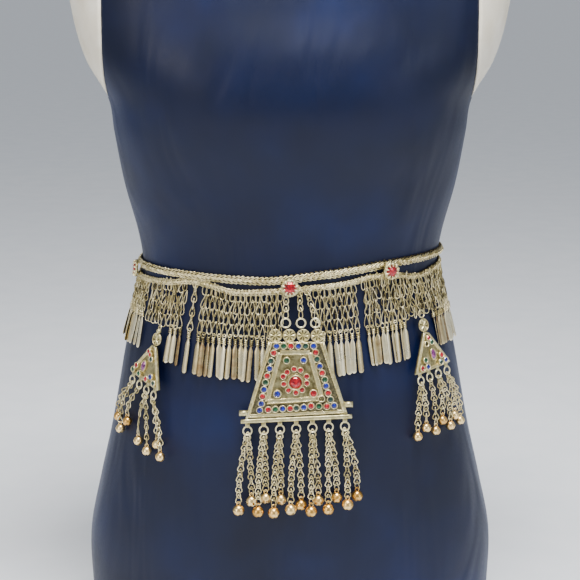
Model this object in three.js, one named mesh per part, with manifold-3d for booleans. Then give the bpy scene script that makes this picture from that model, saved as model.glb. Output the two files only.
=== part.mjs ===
// An Afghan tribal-style belly dance hip belt of tarnished white metal, worn on a limbless dress form.
// Two woven wire braids go round the waist. Curtains of wire links hang from the lower one, each column ending
// in a leaf blade, with a trapezoid pendant at the front and a triangular one on each hip.
// Millimetres, +Z up. The origin is the middle of the form's flat base, and the front faces -Y.
// Angles go round the form from the front, in degrees, positive towards +X.
import * as THREE from "three";
import { mergeVertices } from "three/addons/utils/BufferGeometryUtils.js";
import Module from "manifold-3d";

const wasm = await Module();
wasm.setup();

// ---- Driving dimensions ----

// Clearance between pieces that touch.
const GAP = 0.3;

// Levels of the dress form: height, half width, depth of its front and back, and how square the section is
// (2 is an ellipse).
const FORM_LEVELS = [
  { z: 0, half: 174, front: 100, back: 115, square: 2 },
  { z: 40, half: 178, front: 102, back: 119, square: 2 },
  { z: 86, half: 178, front: 105, back: 122, square: 2 },
  { z: 135, half: 168, front: 107, back: 120, square: 2 },
  { z: 182, half: 157, front: 108, back: 115, square: 2 },
  { z: 218, half: 150, front: 107, back: 109, square: 2 },
  { z: 255, half: 143, front: 103, back: 103, square: 2 },
  { z: 291, half: 134, front: 97, back: 95, square: 2 },
  { z: 325, half: 127, front: 92, back: 88, square: 2 },
  { z: 352, half: 130, front: 93, back: 88, square: 2 },
  { z: 396, half: 141, front: 102, back: 92, square: 2.1 },
  { z: 440, half: 148, front: 116, back: 96, square: 2.3 },
  { z: 468, half: 152, front: 121, back: 98, square: 2.4 },
  { z: 500, half: 170, front: 117, back: 101, square: 2.4 },
  { z: 540, half: 181, front: 104, back: 103, square: 2.4 },
  { z: 600, half: 187, front: 86, back: 97, square: 2.4 },
  { z: 640, half: 182, front: 72, back: 86, square: 2.3 },
  { z: 664, half: 150, front: 62, back: 74, square: 2.1 },
  { z: 684, half: 96, front: 56, back: 62, square: 2 },
  { z: 704, half: 64, front: 52, back: 54, square: 2 },
  { z: 760, half: 58, front: 48, back: 50, square: 2 },
];
const FORM_SIDES = 36;
// Rings are closer together round the waist, where the belt lies on the form.
const FORM_RINGS = [
  0, 40, 75, 105, 135, 165, 200, 228, 250, 268, 283, 296, 308, 318, 328, 339, 352, 374, 398, 420, 442, 458, 468, 484,
  502, 525, 560, 600, 628, 645, 658, 670, 684, 704, 760,
];
const ARMHOLE_X = 149;

// The two braids: their radius, and their height at each angle round the form.
const UPPER_RADIUS = 2.3;
const LOWER_RADIUS = 1.8;
const BRAID_CLEAR = 0.8;
const BRAID_HEIGHTS = [
  { angle: -180, upper: 333, lower: 327 },
  { angle: -150, upper: 331, lower: 321 },
  { angle: -83, upper: 328, lower: 317 },
  { angle: -52, upper: 328, lower: 319 },
  { angle: -38, upper: 328, lower: 322.8 },
  { angle: -29, upper: 327.4, lower: 320.4 },
  { angle: -20, upper: 327, lower: 316.5 },
  { angle: -7, upper: 327, lower: 318 },
  { angle: 6, upper: 330, lower: 320.4 },
  { angle: 20, upper: 333.2, lower: 323.3 },
  { angle: 32, upper: 336, lower: 327.4 },
  { angle: 42, upper: 337.8, lower: 327 },
  { angle: 55, upper: 338.3, lower: 323.4 },
  { angle: 72, upper: 338.6, lower: 326.3 },
  { angle: 95, upper: 338.4, lower: 328 },
  { angle: 150, upper: 335, lower: 327 },
  { angle: 180, upper: 333, lower: 327 },
];
const BRAID_STRETCHES = [
  { name: "left", from: -173.6, to: -0.3, steps: 30 },
  { name: "front", from: 0.3, to: 38.5, steps: 9 },
  { name: "right", from: 39.1, to: 173.6, steps: 24 },
];

// Studs that join the two braids: a petalled bezel round a faceted stone.
const STUD_RADIUS = 7.4;
const STUD_HEIGHT = 4.4;
const STUD_OUT = 5.8;
const STUDS = [
  { name: "stud_left", angle: -83, z: 321.5 },
  { name: "stud_centre", angle: 0, z: 321.8 },
  { name: "stud_right", angle: 38.8, z: 332.1 },
];

// Curtains of wire links: the angles they span, and the height of their lower edge at each end.
const NET_INNER = 0.8;
const NET_OUTER = 2.8;
const NETS = [
  { name: "net_side_left", from: -150, to: -64, lowFrom: 290, lowTo: 292, columns: 16 },
  { name: "net_hip_left", from: -62, to: -40, lowFrom: 283, lowTo: 284, columns: 6 },
  { name: "net_front_left", from: -33.5, to: -2.6, lowFrom: 281, lowTo: 281, columns: 8 },
  { name: "net_front_right", from: 8.5, to: 24.5, lowFrom: 284, lowTo: 286, columns: 5 },
  { name: "net_hip_right", from: 26.5, to: 60, lowFrom: 287, lowTo: 292, columns: 8 },
  { name: "net_side_right", from: 60.4, to: 150, lowFrom: 292, lowTo: 290, columns: 16 },
];
const NET_ROWS = 3;

// The leaf fringe under the curtains: the reach of the wrapped ends and blades, height at each end.
const LEAF_INNER = 0.8;
const LEAF_OUTER = 2.4;
const LEAF_ROWS = 2;
const LEAVES = [
  { name: "leaves_side_left", net: "net_side_left", from: -150, to: -64, lowFrom: 259, lowTo: 260, columns: 16 },
  { name: "leaves_hip_left", net: "net_hip_left", from: -46.5, to: -40, lowFrom: 254, lowTo: 252, columns: 2 },
  { name: "leaves_front_left", net: "net_front_left", from: -33.5, to: -6, lowFrom: 247, lowTo: 245, columns: 7 },
  { name: "leaves_front_right", net: "net_front_right", from: 9, to: 24.5, lowFrom: 249, lowTo: 251, columns: 4 },
  { name: "leaves_hip_right", net: "net_hip_right", from: 26.5, to: 45, lowFrom: 255, lowTo: 257, columns: 5 },
  { name: "leaves_side_right", net: "net_side_right", from: 61, to: 150, lowFrom: 261, lowTo: 259, columns: 16 },
];

// One single column of links with its leaf, between two curtains.
const STRAND_LEAF = { angle: -36.6, half: 0.9, low: 248 };

// Short columns of links that carry the centre pendant, by their place at top and bottom.
const STRANDS = [
  { name: "strand_centre_1", top: -3, low: -3.4 },
  { name: "strand_centre_2", top: 7.4, low: 8.8 },
  { name: "strand_centre_3", top: 13, low: 20.3 },
];
const STRAND_HALF = 1.5;

// The centre pendant. Its own axes: x to the right, y up along the plate, z out of its face. Its origin is the
// middle of the plate's top edge, and it leans back on the belly.
const CENTRE_ORIGIN = [5, -103, 279];
const CENTRE_LEAN = 6.3;
const PLATE = { topHalf: 22.4, left: -41, leftDrop: 62, right: 41.4, rightDrop: 58, thick: 2, rim: 1.3, rimWide: 2 };
const BOSS = { x: -1.5, y: -31, radius: 13, height: 3.2 };
const BAR = { radius: 1.7, over: 3.6 };
const ROSETTE = { radius: 5.3, height: 2.2, y: 5.7, pitch: 11.2, count: 4 };
const RING = { radius: 3.6, wire: 0.75, y: 15.8, places: [-8.4, 3.8, 15.3] };

// Tassels under the bar: a loop, two lengths of chain and a bell on each.
const TASSEL_PITCH = 13.1;
const TASSEL_DROP = 8;
const LOOP = { radius: 3.5, wire: 0.7 };
const CHAIN_RADIUS = 1.3;
const BELL = { radius: 4.7, sideRadius: 4 };
const CENTRE_BELLS = [
  { tassel: -3, x: -39.9, z: 141.5, out: 12.4 },
  { tassel: -3, x: -30.6, z: 147.5, out: 6 },
  { tassel: -2, x: -24.6, z: 141.5, out: 14 },
  { tassel: -2, x: -19.3, z: 150.5, out: 6 },
  { tassel: -1, x: -12.6, z: 140.5, out: 12.8 },
  { tassel: -1, x: -7.2, z: 149.5, out: 5.8 },
  { tassel: 0, x: 0.6, z: 143.5, out: 13 },
  { tassel: 0, x: 8.9, z: 145, out: 5.8 },
  { tassel: 1, x: 16.4, z: 141.5, out: 12.4 },
  { tassel: 1, x: 22.6, z: 148.5, out: 5.8 },
  { tassel: 2, x: 29.6, z: 143, out: 12.6 },
  { tassel: 2, x: 37.2, z: 150.5, out: 6 },
  { tassel: 3, x: 44.6, z: 146, out: 12.4 },
  { tassel: 3, x: 53.4, z: 151, out: 6.6 },
];

// The hip pendants: a triangular plate under a rosette, with four tassels. Roll and yaw are how each lies.
const TRIANGLE = { half: 21.5, height: 31, thick: 2, rim: 1.3, rimWide: 2 };
const HIP_PENDANTS = [
  {
    side: "left",
    angle: -50.5,
    top: 266,
    out: 3.6,
    roll: -9,
    yaw: -8,
    hang: "ball",
    bells: [
      { tassel: 0, angle: -68, z: 199, out: 5 },
      { tassel: 0, angle: -64.5, z: 190, out: 5.2 },
      { tassel: 1, angle: -60.5, z: 198.5, out: 5 },
      { tassel: 2, angle: -52.5, z: 185.5, out: 5 },
      { tassel: 2, angle: -47.6, z: 179, out: 5.2 },
      { tassel: 3, angle: -43.6, z: 186.5, out: 5 },
      { tassel: 3, angle: -40.6, z: 178, out: 9 },
    ],
  },
  {
    side: "right",
    angle: 52,
    top: 277,
    out: 3.6,
    roll: 1,
    yaw: 0,
    hang: "ring",
    bells: [
      { tassel: 0, angle: 41.8, z: 194, out: 5 },
      { tassel: 0, angle: 45.4, z: 200.5, out: 6.6 },
      { tassel: 1, angle: 50.2, z: 195.5, out: 5 },
      { tassel: 2, angle: 54.4, z: 202.5, out: 5 },
      { tassel: 2, angle: 58.4, z: 196, out: 5.4 },
      { tassel: 3, angle: 62.2, z: 203, out: 5 },
      { tassel: 3, angle: 66, z: 196.5, out: 5 },
    ],
  },
];
const HIP_ROSETTE = { radius: 5.6, height: 2.2, y: 6 };
const HIP_LUG_PITCH = 11;

// The fastening at the back: a plain hook through a ring, each on an end plate that holds both braids.
const FASTENING = { z: 330, plateHalf: 5.5, plateLong: 6, thick: 2.6, out: 1.1, ringRadius: 4.5, wire: 0.8 };

// ---- Materials ----

const satin = new THREE.MeshStandardMaterial({ color: 0x14244f, roughness: 0.45, metalness: 0 });
const capPlastic = new THREE.MeshStandardMaterial({ color: 0xe6ddca, roughness: 0.5, metalness: 0 });
const whiteMetal = new THREE.MeshStandardMaterial({ color: 0xb7b093, roughness: 0.38, metalness: 1 });
const leafMetal = new THREE.MeshStandardMaterial({ color: 0xc9c19a, roughness: 0.35, metalness: 1 });
const bellMetal = new THREE.MeshStandardMaterial({ color: 0xb89a63, roughness: 0.35, metalness: 1 });
const redGlass = new THREE.MeshStandardMaterial({ color: 0xa01126, roughness: 0.12, metalness: 0.1 });

// ---- Shape helpers ----

const belt = new THREE.Group();

function add(name, geometry, material) {
  const mesh = new THREE.Mesh(geometry, material);
  mesh.name = name;
  belt.add(mesh);
}

function radians(degrees) {
  return THREE.MathUtils.degToRad(degrees);
}

function signedPower(value, power) {
  return Math.sign(value) * Math.abs(value) ** power;
}

// A smooth curve through the rows of a table: the column `key` at the place `at` of the column `by`.
function smooth(rows, by, key, at) {
  const last = rows.length - 1;
  const place = THREE.MathUtils.clamp(at, rows[0][by], rows[last][by]);
  let i = 0;
  while (i < last - 1 && rows[i + 1][by] <= place) i += 1;
  const slope = (j) => {
    const before = rows[Math.max(j - 1, 0)];
    const after = rows[Math.min(j + 1, last)];
    return (after[key] - before[key]) / (after[by] - before[by]);
  };
  const span = rows[i + 1][by] - rows[i][by];
  const t = (place - rows[i][by]) / span;
  const t2 = t * t;
  const t3 = t2 * t;
  return (
    (2 * t3 - 3 * t2 + 1) * rows[i][key] +
    (t3 - 2 * t2 + t) * span * slope(i) +
    (3 * t2 - 2 * t3) * rows[i + 1][key] +
    (t3 - t2) * span * slope(i + 1)
  );
}

// A point of the form's skin at an angle and height, moved straight out of it by `out`.
function formPoint(angle, z, out = 0) {
  const half = smooth(FORM_LEVELS, "z", "half", z);
  const side = Math.cos(radians(angle)) >= 0 ? "front" : "back";
  const depth = smooth(FORM_LEVELS, "z", side, z);
  const square = smooth(FORM_LEVELS, "z", "square", z);
  const across = signedPower(Math.sin(radians(angle)), 2 / square);
  const ahead = signedPower(Math.cos(radians(angle)), 2 / square);
  const normal = new THREE.Vector2(
    signedPower(across, square - 1) / half,
    -signedPower(ahead, square - 1) / depth,
  ).normalize();
  return new THREE.Vector3(half * across + out * normal.x, -depth * ahead + out * normal.y, z);
}

// The angle at which the form's front has the place x at the height z.
function angleAt(x, z) {
  return THREE.MathUtils.radToDeg(Math.asin(x / smooth(FORM_LEVELS, "z", "half", z)));
}

// Axes lying on the form: x along it to the right, y up its slope, z out of it, then turned by roll and yaw.
function frameOn(angle, z, out, roll = 0, yaw = 0) {
  const step = 2;
  const up = formPoint(angle, z + step).sub(formPoint(angle, z - step)).normalize();
  const ahead = formPoint(angle + 1, z).sub(formPoint(angle - 1, z));
  const right = ahead.addScaledVector(up, -ahead.dot(up)).normalize();
  const outward = new THREE.Vector3().crossVectors(right, up);
  const turn = new THREE.Matrix4().makeRotationY(radians(yaw));
  turn.multiply(new THREE.Matrix4().makeRotationZ(radians(roll)));
  return new THREE.Matrix4()
    .makeBasis(right, up, outward)
    .setPosition(formPoint(angle, z).addScaledVector(outward, out))
    .multiply(turn);
}

// A closed body through rings of points, all with the same count, with a fan on each end.
function loft(rings) {
  const count = rings[0].length;
  const points = rings.flat();
  const index = [];
  for (let r = 0; r + 1 < rings.length; r += 1) {
    for (let i = 0; i < count; i += 1) {
      const a = r * count + i;
      const b = r * count + ((i + 1) % count);
      index.push(a, b, b + count, a, b + count, a + count);
    }
  }
  const ends = [
    [0, 1],
    [rings.length - 1, 0],
  ];
  for (const [ring, flip] of ends) {
    const centre = new THREE.Vector3();
    for (const point of rings[ring]) centre.addScaledVector(point, 1 / count);
    points.push(centre);
    for (let i = 0; i < count; i += 1) {
      const a = ring * count + i;
      const b = ring * count + ((i + 1) % count);
      if (flip) index.push(points.length - 1, b, a);
      else index.push(points.length - 1, a, b);
    }
  }
  return new THREE.BufferGeometry().setFromPoints(points).setIndex(index);
}

// A wall that lies on the form between two angles and two edges, from `inner` to `outer` off its skin.
function wall({ from, to, top, low, inner, outer, columns, rows }) {
  const face = (out) => {
    const grid = [];
    for (let c = 0; c <= columns; c += 1) {
      const angle = from + ((to - from) * c) / columns;
      const column = [];
      for (let r = 0; r <= rows; r += 1) {
        column.push(formPoint(angle, THREE.MathUtils.lerp(top(angle), low(angle), r / rows), out));
      }
      grid.push(column);
    }
    return grid;
  };
  const front = face(outer);
  const back = face(inner);
  const rings = front.map((column, c) => [...column, ...back[c].toReversed()]);
  const size = 2 * (rows + 1);
  const index = [];
  for (let c = 0; c < columns; c += 1) {
    for (let i = 0; i < size; i += 1) {
      const a = c * size + i;
      const b = c * size + ((i + 1) % size);
      index.push(a, b, b + size, a, b + size, a + size);
    }
  }
  // Each end is a strip of quads between the front and the back column.
  for (const [start, flip] of [
    [0, 0],
    [columns * size, 1],
  ]) {
    for (let r = 0; r < rows; r += 1) {
      const quad = [r, size - 1 - r, size - 2 - r, r + 1].map((i) => i + start);
      if (flip) quad.reverse();
      index.push(quad[0], quad[1], quad[2], quad[0], quad[2], quad[3]);
    }
  }
  return new THREE.BufferGeometry().setFromPoints(rings.flat()).setIndex(index);
}

// A round rod with flat ends along a smooth path of points.
function rod(points, radius, sides, steps) {
  const outline = [];
  for (let i = 0; i < sides; i += 1) {
    const turn = (2 * Math.PI * i) / sides;
    outline.push(new THREE.Vector2(radius * Math.cos(turn), radius * Math.sin(turn)));
  }
  return new THREE.ExtrudeGeometry(new THREE.Shape(outline), {
    steps,
    bevelEnabled: false,
    extrudePath: new THREE.CatmullRomCurve3(points),
  });
}

function outlineShape(corners) {
  return new THREE.Shape(corners.map(([x, y]) => new THREE.Vector2(x, y)));
}

// A flat piece with its back on z = 0.
function plate(corners, thick, lift = 0) {
  const geometry = new THREE.ExtrudeGeometry(outlineShape(corners), { depth: thick, bevelEnabled: false });
  return geometry.translate(0, 0, lift);
}

// A turned piece with its axis along z, from a profile of radius and height rows.
function turned(profile, segments) {
  const points = profile.map(([radius, height]) => new THREE.Vector2(radius, height));
  return new THREE.LatheGeometry(points, segments).rotateX(Math.PI / 2);
}

// A turned disc that is a little domed, its back on z = 0.
function domed(radius, height, segments) {
  const profile = [
    [0, 0],
    [radius * 0.94, 0],
    [radius, height * 0.3],
    [radius * 0.86, height * 0.72],
    [radius * 0.5, height * 0.95],
    [0, height],
  ];
  return turned(profile, segments);
}

function toSolid(geometry) {
  const bare = geometry.clone();
  bare.deleteAttribute("normal");
  bare.deleteAttribute("uv");
  const merged = mergeVertices(bare, 1e-4);
  const vertProperties = new Float32Array(merged.attributes.position.array);
  const triVerts = new Uint32Array(merged.index.array);
  return new wasm.Manifold(new wasm.Mesh({ numProp: 3, vertProperties, triVerts }));
}

function fromSolid(solid) {
  const mesh = solid.getMesh();
  const positions = new THREE.BufferAttribute(mesh.vertProperties, 3);
  return new THREE.BufferGeometry()
    .setAttribute("position", positions)
    .setIndex(new THREE.BufferAttribute(mesh.triVerts, 1));
}

function joined(geometries) {
  return fromSolid(geometries.map(toSolid).reduce((whole, piece) => whole.add(piece)));
}

// ---- The dress form ----

function makeForm() {
  const rings = FORM_RINGS.map((z) => {
    const ring = [];
    for (let i = 0; i < FORM_SIDES; i += 1) ring.push(formPoint((360 * i) / FORM_SIDES, z));
    return ring;
  });
  const whole = toSolid(loft(rings));
  const size = 400;
  const block = (from) => {
    const box = new THREE.BoxGeometry(size, size, 2 * size);
    return toSolid(box.translate(Math.sign(from) * (Math.abs(from) + size / 2), 0, size + 470));
  };
  const bare = [-1, 1].reduce((form, side) => form.subtract(block(side * ARMHOLE_X)), whole);
  add("form_torso", fromSolid(bare), satin);
  for (const [name, side] of [
    ["arm_cap_left", -1],
    ["arm_cap_right", 1],
  ]) {
    add(name, fromSolid(whole.intersect(block(side * (ARMHOLE_X + GAP)))), capPlastic);
  }
}

// ---- Braids and studs ----

function braidHeight(which, angle) {
  return smooth(BRAID_HEIGHTS, "angle", which, angle);
}

function makeBraids() {
  for (const [which, radius] of [
    ["upper", UPPER_RADIUS],
    ["lower", LOWER_RADIUS],
  ]) {
    for (const { name, from, to, steps } of BRAID_STRETCHES) {
      const points = [];
      for (let i = 0; i <= steps; i += 1) {
        const angle = from + ((to - from) * i) / steps;
        points.push(formPoint(angle, braidHeight(which, angle), radius + BRAID_CLEAR));
      }
      add(`${which}_braid_${name}`, rod(points, radius, 6, steps), whiteMetal);
    }
  }
}

function makeStuds() {
  for (const { name, angle, z } of STUDS) {
    add(name, domed(STUD_RADIUS, STUD_HEIGHT, 16).applyMatrix4(frameOn(angle, z, STUD_OUT)), whiteMetal);
  }
}

// ---- Link curtains and leaf fringe ----

function underBraid(angle) {
  return braidHeight("lower", angle) - LOWER_RADIUS - GAP;
}

function edgeBetween({ from, to, lowFrom, lowTo }) {
  return (angle) => lowFrom + ((lowTo - lowFrom) * (angle - from)) / (to - from);
}

function makeNets() {
  for (const net of NETS) {
    const low = edgeBetween(net);
    const spec = { ...net, top: underBraid, low, inner: NET_INNER, outer: NET_OUTER, rows: NET_ROWS };
    add(net.name, wall(spec), whiteMetal);
  }
}

function makeLeaves() {
  for (const fringe of LEAVES) {
    const above = edgeBetween(NETS.find(({ name }) => name === fringe.net));
    const top = (angle) => above(angle) - GAP;
    const low = edgeBetween(fringe);
    const spec = { ...fringe, top, low, inner: LEAF_INNER, outer: LEAF_OUTER, rows: LEAF_ROWS };
    add(fringe.name, wall(spec), leafMetal);
  }
  const { angle, half, low } = STRAND_LEAF;
  const spec = { from: angle - half, to: angle + half, top: underBraid, low: () => low };
  add("strand_left", wall({ ...spec, inner: LEAF_INNER, outer: LEAF_OUTER, columns: 1, rows: 6 }), leafMetal);
}

// ---- The centre pendant ----

function centreFrame() {
  const lean = radians(CENTRE_LEAN);
  const right = new THREE.Vector3(1, 0, 0);
  const up = new THREE.Vector3(0, Math.sin(lean), Math.cos(lean));
  const outward = new THREE.Vector3(0, -Math.cos(lean), Math.sin(lean));
  return new THREE.Matrix4().makeBasis(right, up, outward).setPosition(...CENTRE_ORIGIN);
}

// Corners moved in towards the middle of the outline.
function inset(corners, by) {
  const x = corners.reduce((sum, corner) => sum + corner[0], 0) / corners.length;
  const y = corners.reduce((sum, corner) => sum + corner[1], 0) / corners.length;
  return corners.map(([cx, cy]) => {
    const length = Math.hypot(cx - x, cy - y);
    const keep = (length - by) / length;
    return [x + (cx - x) * keep, y + (cy - y) * keep];
  });
}

// A plate with a raised rim round its face.
function rimmedPlate(corners, { thick, rim, rimWide }) {
  const shape = outlineShape(corners);
  shape.holes.push(new THREE.Path(inset(corners, rimWide * 1.6).map(([x, y]) => new THREE.Vector2(x, y))));
  const border = new THREE.ExtrudeGeometry(shape, { depth: rim + 0.5, bevelEnabled: false });
  return joined([plate(corners, thick), border.translate(0, 0, thick - 0.5)]);
}

function barHeight(x) {
  const t = (x - PLATE.left) / (PLATE.right - PLATE.left);
  return THREE.MathUtils.lerp(-PLATE.leftDrop, -PLATE.rightDrop, t) - BAR.radius - GAP;
}

// A bell with its chain from the loop above it, all in world places.
function bellOnChain(start, end, radius, via) {
  const top = end.clone().setZ(end.z + radius * 0.8);
  const middle = via ?? start.clone().lerp(top, 0.5);
  const chain = rod([start, middle, top], CHAIN_RADIUS, 4, 2);
  const bell = new THREE.SphereGeometry(radius, 8, 5).rotateX(Math.PI / 2).translate(end.x, end.y, end.z);
  return [chain, bell];
}

// The loop of a tassel and the lug that it hangs on, about the loop's middle.
function tasselLoop(drop) {
  const loop = new THREE.TorusGeometry(LOOP.radius, LOOP.wire, 4, 8);
  const tall = drop - LOOP.radius + 0.4;
  const lug = new THREE.BoxGeometry(2.2, tall, 1.6).translate(0, LOOP.radius - 0.4 + tall / 2, 0);
  return [loop, lug];
}

function makeCentrePendant() {
  const frame = centreFrame();
  const { topHalf, left, leftDrop, right, rightDrop, thick, rim } = PLATE;
  const corners = [
    [-topHalf, 0],
    [left, -leftDrop],
    [right, -rightDrop],
    [topHalf, 0],
  ];
  add("centre_plate", rimmedPlate(corners, PLATE).applyMatrix4(frame), whiteMetal);
  const boss = domed(BOSS.radius, BOSS.height, 16).translate(BOSS.x, BOSS.y, thick + GAP);
  add("centre_boss", boss.applyMatrix4(frame), redGlass);
  const ends = [left - BAR.over, right + BAR.over];
  const barPoints = [0, 0.5, 1].map((t) => {
    const x = THREE.MathUtils.lerp(ends[0], ends[1], t);
    return new THREE.Vector3(x, barHeight(x), (thick + rim) / 2);
  });
  add("centre_bar", rod(barPoints, BAR.radius, 8, 2).applyMatrix4(frame), whiteMetal);
  for (let i = 0; i < ROSETTE.count; i += 1) {
    const x = (i - (ROSETTE.count - 1) / 2) * ROSETTE.pitch;
    const rosette = domed(ROSETTE.radius, ROSETTE.height, 12).translate(x, ROSETTE.y, thick / 2);
    add(`centre_rosette_${i + 1}`, rosette.applyMatrix4(frame), whiteMetal);
  }
  RING.places.forEach((x, i) => {
    const ring = new THREE.TorusGeometry(RING.radius, RING.wire, 6, 14).translate(x, RING.y, thick);
    add(`centre_ring_${i + 1}`, ring.applyMatrix4(frame), whiteMetal);
  });
  for (let tassel = -3; tassel <= 3; tassel += 1) {
    const x = tassel * TASSEL_PITCH;
    const middle = barHeight(x) - BAR.radius - GAP - TASSEL_DROP + 2;
    const place = new THREE.Matrix4().makeTranslation(x, middle, (thick + rim) / 2).premultiply(frame);
    const pieces = tasselLoop(6).map((piece) => piece.applyMatrix4(place));
    const start = new THREE.Vector3(0, -LOOP.radius, 0).applyMatrix4(place);
    for (const bell of CENTRE_BELLS.filter((row) => row.tassel === tassel)) {
      const end = formPoint(angleAt(bell.x, bell.z), bell.z, bell.out);
      pieces.push(...bellOnChain(start, end, BELL.radius));
    }
    add(`centre_tassel_${tassel + 4}`, joined(pieces), bellMetal);
  }
}

function makeStrands() {
  const lowEnd = RING.y + RING.radius + RING.wire + GAP;
  const frame = centreFrame();
  for (const { name, top, low } of STRANDS) {
    const place = new THREE.Vector3(low - CENTRE_ORIGIN[0], lowEnd, PLATE.thick).applyMatrix4(frame);
    const angle = angleAt(top, 318);
    const start = formPoint(angle, underBraid(angle), NET_INNER + STRAND_HALF);
    add(name, rod([start, start.clone().lerp(place, 0.5), place], STRAND_HALF, 6, 3), whiteMetal);
  }
}

// ---- The hip pendants ----

function makeHipPendant({ side, angle, top, out, roll, yaw, hang, bells }) {
  const frame = frameOn(angle, top, out, roll, yaw);
  const { half, height, thick, rim } = TRIANGLE;
  const corners = [
    [-2.5, 0],
    [-half, -height],
    [half, -height],
    [2.5, 0],
  ];
  add(`${side}_plate`, rimmedPlate(corners, TRIANGLE).applyMatrix4(frame), whiteMetal);
  const rosette = domed(HIP_ROSETTE.radius, HIP_ROSETTE.height, 12).translate(0, HIP_ROSETTE.y, thick / 2);
  const above = HIP_ROSETTE.y + HIP_ROSETTE.radius;
  if (hang === "ball") {
    const ball = new THREE.SphereGeometry(2.2, 8, 6).translate(0, above + 1.6, thick);
    const loop = new THREE.TorusGeometry(1.6, 0.5, 5, 8).translate(0, above + 4.8, thick);
    add(`${side}_rosette`, joined([rosette, ball, loop]).applyMatrix4(frame), whiteMetal);
  } else {
    add(`${side}_rosette`, rosette.applyMatrix4(frame), whiteMetal);
    const ring = new THREE.TorusGeometry(3.1, 0.7, 6, 12).translate(0, above + 3.8 + GAP, thick);
    add(`${side}_ring`, ring.applyMatrix4(frame), whiteMetal);
  }
  for (let tassel = 0; tassel < 4; tassel += 1) {
    const x = (tassel - 1.5) * HIP_LUG_PITCH;
    const place = new THREE.Matrix4()
      .makeTranslation(x, -height - GAP - 6, (thick + rim) / 2)
      .premultiply(frame);
    const pieces = tasselLoop(6).map((piece) => piece.applyMatrix4(place));
    const start = new THREE.Vector3(0, -LOOP.radius, 0).applyMatrix4(place);
    for (const bell of bells.filter((row) => row.tassel === tassel)) {
      const end = formPoint(bell.angle, bell.z, bell.out);
      pieces.push(...bellOnChain(start, end, BELL.sideRadius));
    }
    add(`${side}_tassel_${tassel + 1}`, joined(pieces), bellMetal);
  }
}

// ---- The fastening at the back ----

// Places on the back: x towards the hook's end, y up, z out of the form.
function makeFastening() {
  const { z, plateHalf, plateLong, thick, out, ringRadius, wire } = FASTENING;
  const frame = frameOn(180, z, 0);
  const mid = out + wire + 1.2;
  const endPlate = (x) => new THREE.BoxGeometry(plateLong, 2 * plateHalf, thick).translate(x, 0, mid);
  const ring = new THREE.TorusGeometry(ringRadius, wire, 6, 14).translate(-3.4, 0, mid);
  add("back_ring", joined([ring, endPlate(-3.4 - ringRadius - plateLong / 2)]).applyMatrix4(frame), whiteMetal);
  const hookPath = [
    [7, mid],
    [3.5, mid + 0.8],
    [1, mid + 2],
    [-1.6, mid + 1.6],
    [-2.4, mid],
    [-1.2, mid - 1.6],
    [0.4, mid - 1.95],
  ].map(([x, height]) => new THREE.Vector3(x, 0, height));
  const hook = rod(hookPath, wire, 6, 14);
  add("back_hook", joined([hook, endPlate(6.6 + plateLong / 2)]).applyMatrix4(frame), whiteMetal);
}

makeForm();
makeBraids();
makeStuds();
makeNets();
makeLeaves();
makeStrands();
makeCentrePendant();
HIP_PENDANTS.forEach(makeHipPendant);
makeFastening();

export default belt;
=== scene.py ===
"""A tribal-style belly dance hip belt of tarnished white metal, worn on a satin-covered dress form.

Shapes are worked out in millimetres as whole arrays and put into meshes in metres. Angles go round the form
from the front, in degrees, positive towards +X.
"""

import bpy
import numpy as np
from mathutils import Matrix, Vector


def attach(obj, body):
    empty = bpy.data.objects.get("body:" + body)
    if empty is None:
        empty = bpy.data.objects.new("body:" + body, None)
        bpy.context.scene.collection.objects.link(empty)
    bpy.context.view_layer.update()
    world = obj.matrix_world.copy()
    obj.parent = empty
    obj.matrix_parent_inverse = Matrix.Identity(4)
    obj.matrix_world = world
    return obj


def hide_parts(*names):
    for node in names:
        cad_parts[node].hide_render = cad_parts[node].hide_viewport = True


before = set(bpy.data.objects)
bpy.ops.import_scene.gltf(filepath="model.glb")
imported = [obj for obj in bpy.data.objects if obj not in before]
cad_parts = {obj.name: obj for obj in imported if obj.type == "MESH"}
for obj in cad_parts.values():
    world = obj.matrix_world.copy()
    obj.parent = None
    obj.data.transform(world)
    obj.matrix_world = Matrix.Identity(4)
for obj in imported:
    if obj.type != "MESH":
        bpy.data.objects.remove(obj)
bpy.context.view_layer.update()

METRES = 0.001
GAP = 0.3
chance = np.random.default_rng(11)

# ---- The dress form and the belt's layout, as in the frame ----

# Height, half width, depth of the front and of the back, and how square the section is.
FORM_LEVELS = np.array([
    [0, 174, 100, 115, 2], [40, 178, 102, 119, 2], [86, 178, 105, 122, 2], [135, 168, 107, 120, 2],
    [182, 157, 108, 115, 2], [218, 150, 107, 109, 2], [255, 143, 103, 103, 2], [291, 134, 97, 95, 2],
    [325, 127, 92, 88, 2], [352, 130, 93, 88, 2], [396, 141, 102, 92, 2.1], [440, 148, 116, 96, 2.3],
    [468, 152, 121, 98, 2.4], [500, 170, 117, 101, 2.4], [540, 181, 104, 103, 2.4], [600, 187, 86, 97, 2.4],
    [640, 182, 72, 86, 2.3], [664, 150, 62, 74, 2.1], [684, 96, 56, 62, 2], [704, 64, 52, 54, 2],
    [760, 58, 48, 50, 2],
])
HALF, FRONT, BACK, SQUARE = 1, 2, 3, 4
ARMHOLE_X = 149
ARMHOLE_Z = 470

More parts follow.
